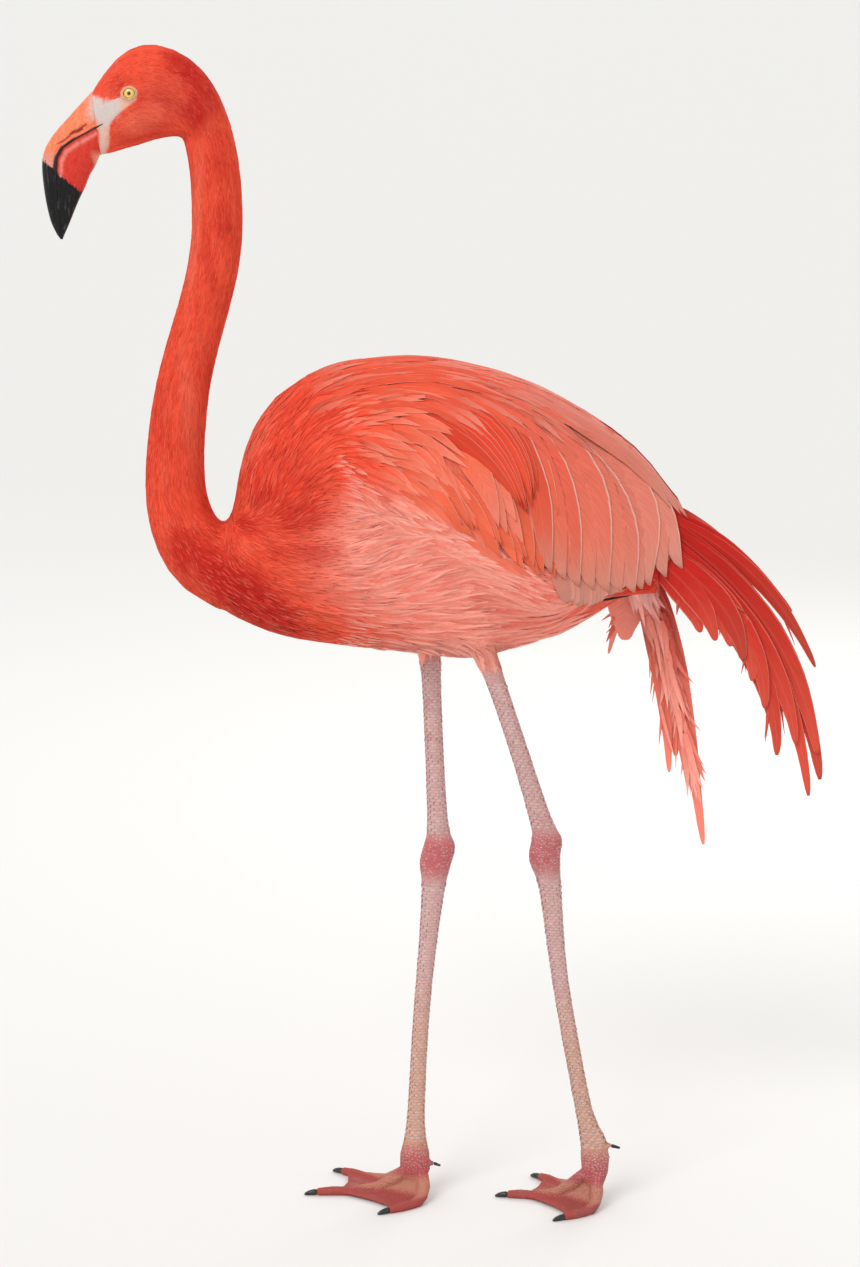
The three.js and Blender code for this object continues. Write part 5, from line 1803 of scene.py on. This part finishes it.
class FLAMINGO_OT_claws(bpy.types.Operator):
    """Black claws of the toes"""

    bl_idname = "flamingo.claws"
    bl_label = "Claws"

    def execute(self, context):
        horn = colours("horn")
        plain_material("Claw Horn", horn * 4 + 0.01, horn, 260, 0.3, 0.35)
        for side, _ in SIDES:
            for toe in ("hind", "inner", "middle", "outer"):
                node = f"claw_{side}_{toe}"
                made = joined_copy(f"nail_{side}_{toe}", [node])
                apply(made, "WELD", merge_threshold=WELD_GAP)
                apply(made, "SUBSURF", levels=2, render_levels=2)
                apply(made, "DISPLACE", strength=0.0003, mid_level=0.0)
                bpy.ops.object.shade_smooth()
                dress(made, "claw", "Claw Horn", replaced=[node])
        return {"FINISHED"}


# ---- plates of the legs

PLATES_ROUND = 8
PLATE_GAP = 3.1
HOCK = {LEFT: 392, RIGHT: 374}
HOCK_REACH = 27
KNEE = {LEFT: 574, RIGHT: 582}


def leg_lie(points):
    """Plates point down the legs, and forward along the toes."""
    forward = smooth(52, 22, points[:, 2])
    return unit(np.stack([-forward, np.zeros(len(points)), forward * 0.7 - 1], 1))


def hock_height(points):
    """Height of the ankle joint of the leg that points are on."""
    return np.where(points[:, 1] < 0, HOCK[LEFT], HOCK[RIGHT])


def plate_rings(ground, side, draw):
    """Roots of the plates that ring one leg, row under row, and the leg's half thickness there."""
    own = ground.points[ground.points[:, 1] * side > 0]
    roots, girth = [], []
    for row, height in enumerate(np.arange(KNEE[side], 66, -PLATE_GAP)):
        near = own[np.abs(own[:, 2] - height) < 2.5]
        if len(near) < 6 or abs(height - hock_height(near[:1])[0]) < HOCK_REACH:
            continue
        low, high = near.min(0), near.max(0)
        middle, half = (low + high) / 2, (high - low)[:2].mean() / 2
        angle = np.arange(PLATES_ROUND) + 0.5 * (row % 2) + draw.uniform(-0.08, 0.08, PLATES_ROUND)
        angle *= 2 * math.pi / PLATES_ROUND
        x, y = middle[0] + half * np.cos(angle), middle[1] + half * np.sin(angle)
        roots.append(np.stack([x, y, height + draw.uniform(-0.2, 0.2, PLATES_ROUND)], 1))
        girth.append(np.full(PLATES_ROUND, half))
    places, _ = ground.nearest(np.concatenate(roots))
    return places, np.concatenate(girth)


class FLAMINGO_OT_plates(bpy.types.Operator):
    """Horny plates and scales of the legs and the tops of the toes"""

    bl_idname = "flamingo.plates"
    bl_label = "Leg plates"

    def execute(self, context):
        grained_material("Leg Plates", 260, 0.2, 0.86, 1.14, 0.42, 0.4)
        ground = GROUND["skin"]
        ground.lie = leg_lie
        for name, side in SIDES:
            draw = np.random.default_rng(81 + side)

            def chosen(p, side=side):
                z = p[:, 2]
                small = (np.abs(z - hock_height(p)) < HOCK_REACH) | (z < 64)
                return small & (z > 8.5) & (p[:, 1] * side > 0)

            small = ground.scatter(chosen, evenly(2.5, 2.6), draw)
            ringed, girth = plate_rings(ground, side, draw)
            roots = np.concatenate([small, ringed])
            x, _, z = roots.T
            girth = np.concatenate([np.full(len(small), 8.0), girth])
            length = np.repeat([2.9, 4.2], [len(small), len(ringed)])
            width = np.where(length < 4, 2.9, girth * 2 * math.pi / PLATES_ROUND * 1.14)
            tuck = width**2 / 8 / girth
            profile = (0.98, 1.0, 1.0, 0.97)
            grown = ground.grow(roots, length, -0.2, 0.12, len(profile), draw, 0.03)
            skin = skin_colour(roots)
            facing = np.abs(grown[1][:, 0, 1])
            joint = smooth(36, 20, np.abs(z - hock_height(roots)))
            light = draw.uniform(0.0, 0.4, len(roots)) * (1 + joint) + 0.4 * facing * (1 - joint) - 0.06
            pale = blend(skin, "face", light * smooth(10, 60, z))
            base = varied(blend(skin, "hock", 0.2 + 0.35 * (1 - facing)), draw, 0.05)
            base = blend(base, "deep_red", 0.3 * joint)
            tip = varied(pale, draw, 0.05)
            uv = np.stack([0.25 * (2 + side) + x / 1200, z / 600], 1)
            vanes(f"plates_{name}", "leg_skin", "Leg Plates", grown, width, profile, 5, 0.03,
                  (base, tip, base), (0.0, 0.15), uv, tuck[:, None, None])
        return {"FINISHED"}


# ---- stage

CAMERA_AWAY, CAMERA_HEIGHT, CAMERA_DIP = 3.3, 1.27, 11.209
FLOOR_RADIUS = 400


class FLAMINGO_OT_stage(bpy.types.Operator):
    """Pale floor, soft light and the camera"""

    bl_idname = "flamingo.stage"
    bl_label = "Stage"

    def execute(self, context):
        scene = context.scene
        bpy.ops.object.select_all(action="DESELECT")
        bpy.ops.mesh.primitive_circle_add(vertices=96, radius=FLOOR_RADIUS, fill_type="NGON")
        floor = context.object
        floor.name = "floor"
        made = new_material("Studio Floor")
        made.surface(colours("floor"), 0.8, Specular_IOR_Level=0.1)
        floor.data.materials.append(bpy.data.materials["Studio Floor"])

        world = bpy.data.worlds.new("Studio")
        scene.world = world
        world.use_nodes = True
        back = world.node_tree.nodes["Background"]
        back.inputs[0].default_value = (1, 0.99, 0.98, 1)
        back.inputs[1].default_value = 0.88

        shine("key", "SUN", (-1.5, -2.4, 3.0), (0, 0, 0.6), energy=1.3, angle=math.radians(28))
        shine("rim", "AREA", (1.4, 2.4, 2.2), (0, 0, 0.8), energy=26, size=1.6)

        camera = bpy.data.cameras.new("camera")
        camera.lens = scene.flamingo.camera_lens
        camera.sensor_width = 36
        seer = bpy.data.objects.new("camera", camera)
        seer.location = (SHIFT * MM, -CAMERA_AWAY, CAMERA_HEIGHT)
        seer.rotation_euler = (math.radians(90 - CAMERA_DIP), 0, 0)
        scene.collection.objects.link(seer)
        scene.camera = seer
        scene.view_settings.view_transform = "Standard"
        scene.view_settings.look = "None"
        scene.view_settings.exposure = 0
        scene.view_settings.gamma = 1
        return {"FINISHED"}


def shine(name, kind, spot, target, **values):
    """Adds a light at one spot, turned towards another."""
    light = bpy.data.lights.new(name, kind)
    for key, value in values.items():
        setattr(light, key, value)
    lamp = bpy.data.objects.new(name, light)
    lamp.location = spot
    lamp.rotation_euler = (Vector(target) - Vector(spot)).to_track_quat("-Z", "Y").to_euler()
    bpy.context.scene.collection.objects.link(lamp)


# ---- panel and registration

OPERATORS = (
    FLAMINGO_OT_skin,
    FLAMINGO_OT_neck_coat,
    FLAMINGO_OT_body_coat,
    FLAMINGO_OT_flanks,
    FLAMINGO_OT_wings,
    FLAMINGO_OT_plumes,
    FLAMINGO_OT_down,
    FLAMINGO_OT_primaries,
    FLAMINGO_OT_tail,
    FLAMINGO_OT_bill,
    FLAMINGO_OT_eyes,
    FLAMINGO_OT_claws,
    FLAMINGO_OT_plates,
    FLAMINGO_OT_stage,
)


class FLAMINGO_PT_panel(bpy.types.Panel):
    """Lists the steps that build the flamingo"""

    bl_idname = "FLAMINGO_PT_panel"
    bl_label = "Flamingo"
    bl_space_type = "VIEW_3D"
    bl_region_type = "UI"
    bl_category = "Flamingo"

    def draw(self, context):
        for operator in OPERATORS:
            self.layout.operator(operator.bl_idname)
        for name in FlamingoSettings.__annotations__:
            self.layout.prop(context.scene.flamingo, name)


CLASSES = (FlamingoSettings, *OPERATORS, FLAMINGO_PT_panel)


def register():
    for kind in CLASSES:
        bpy.utils.register_class(kind)
    bpy.types.Scene.flamingo = PointerProperty(type=FlamingoSettings)


def unregister():
    del bpy.types.Scene.flamingo
    for kind in reversed(CLASSES):
        bpy.utils.unregister_class(kind)


def main():
    register()
    for operator in OPERATORS:
        family, name = operator.bl_idname.split(".")
        getattr(getattr(bpy.ops, family), name)()


if __name__ == "__main__":
    main()
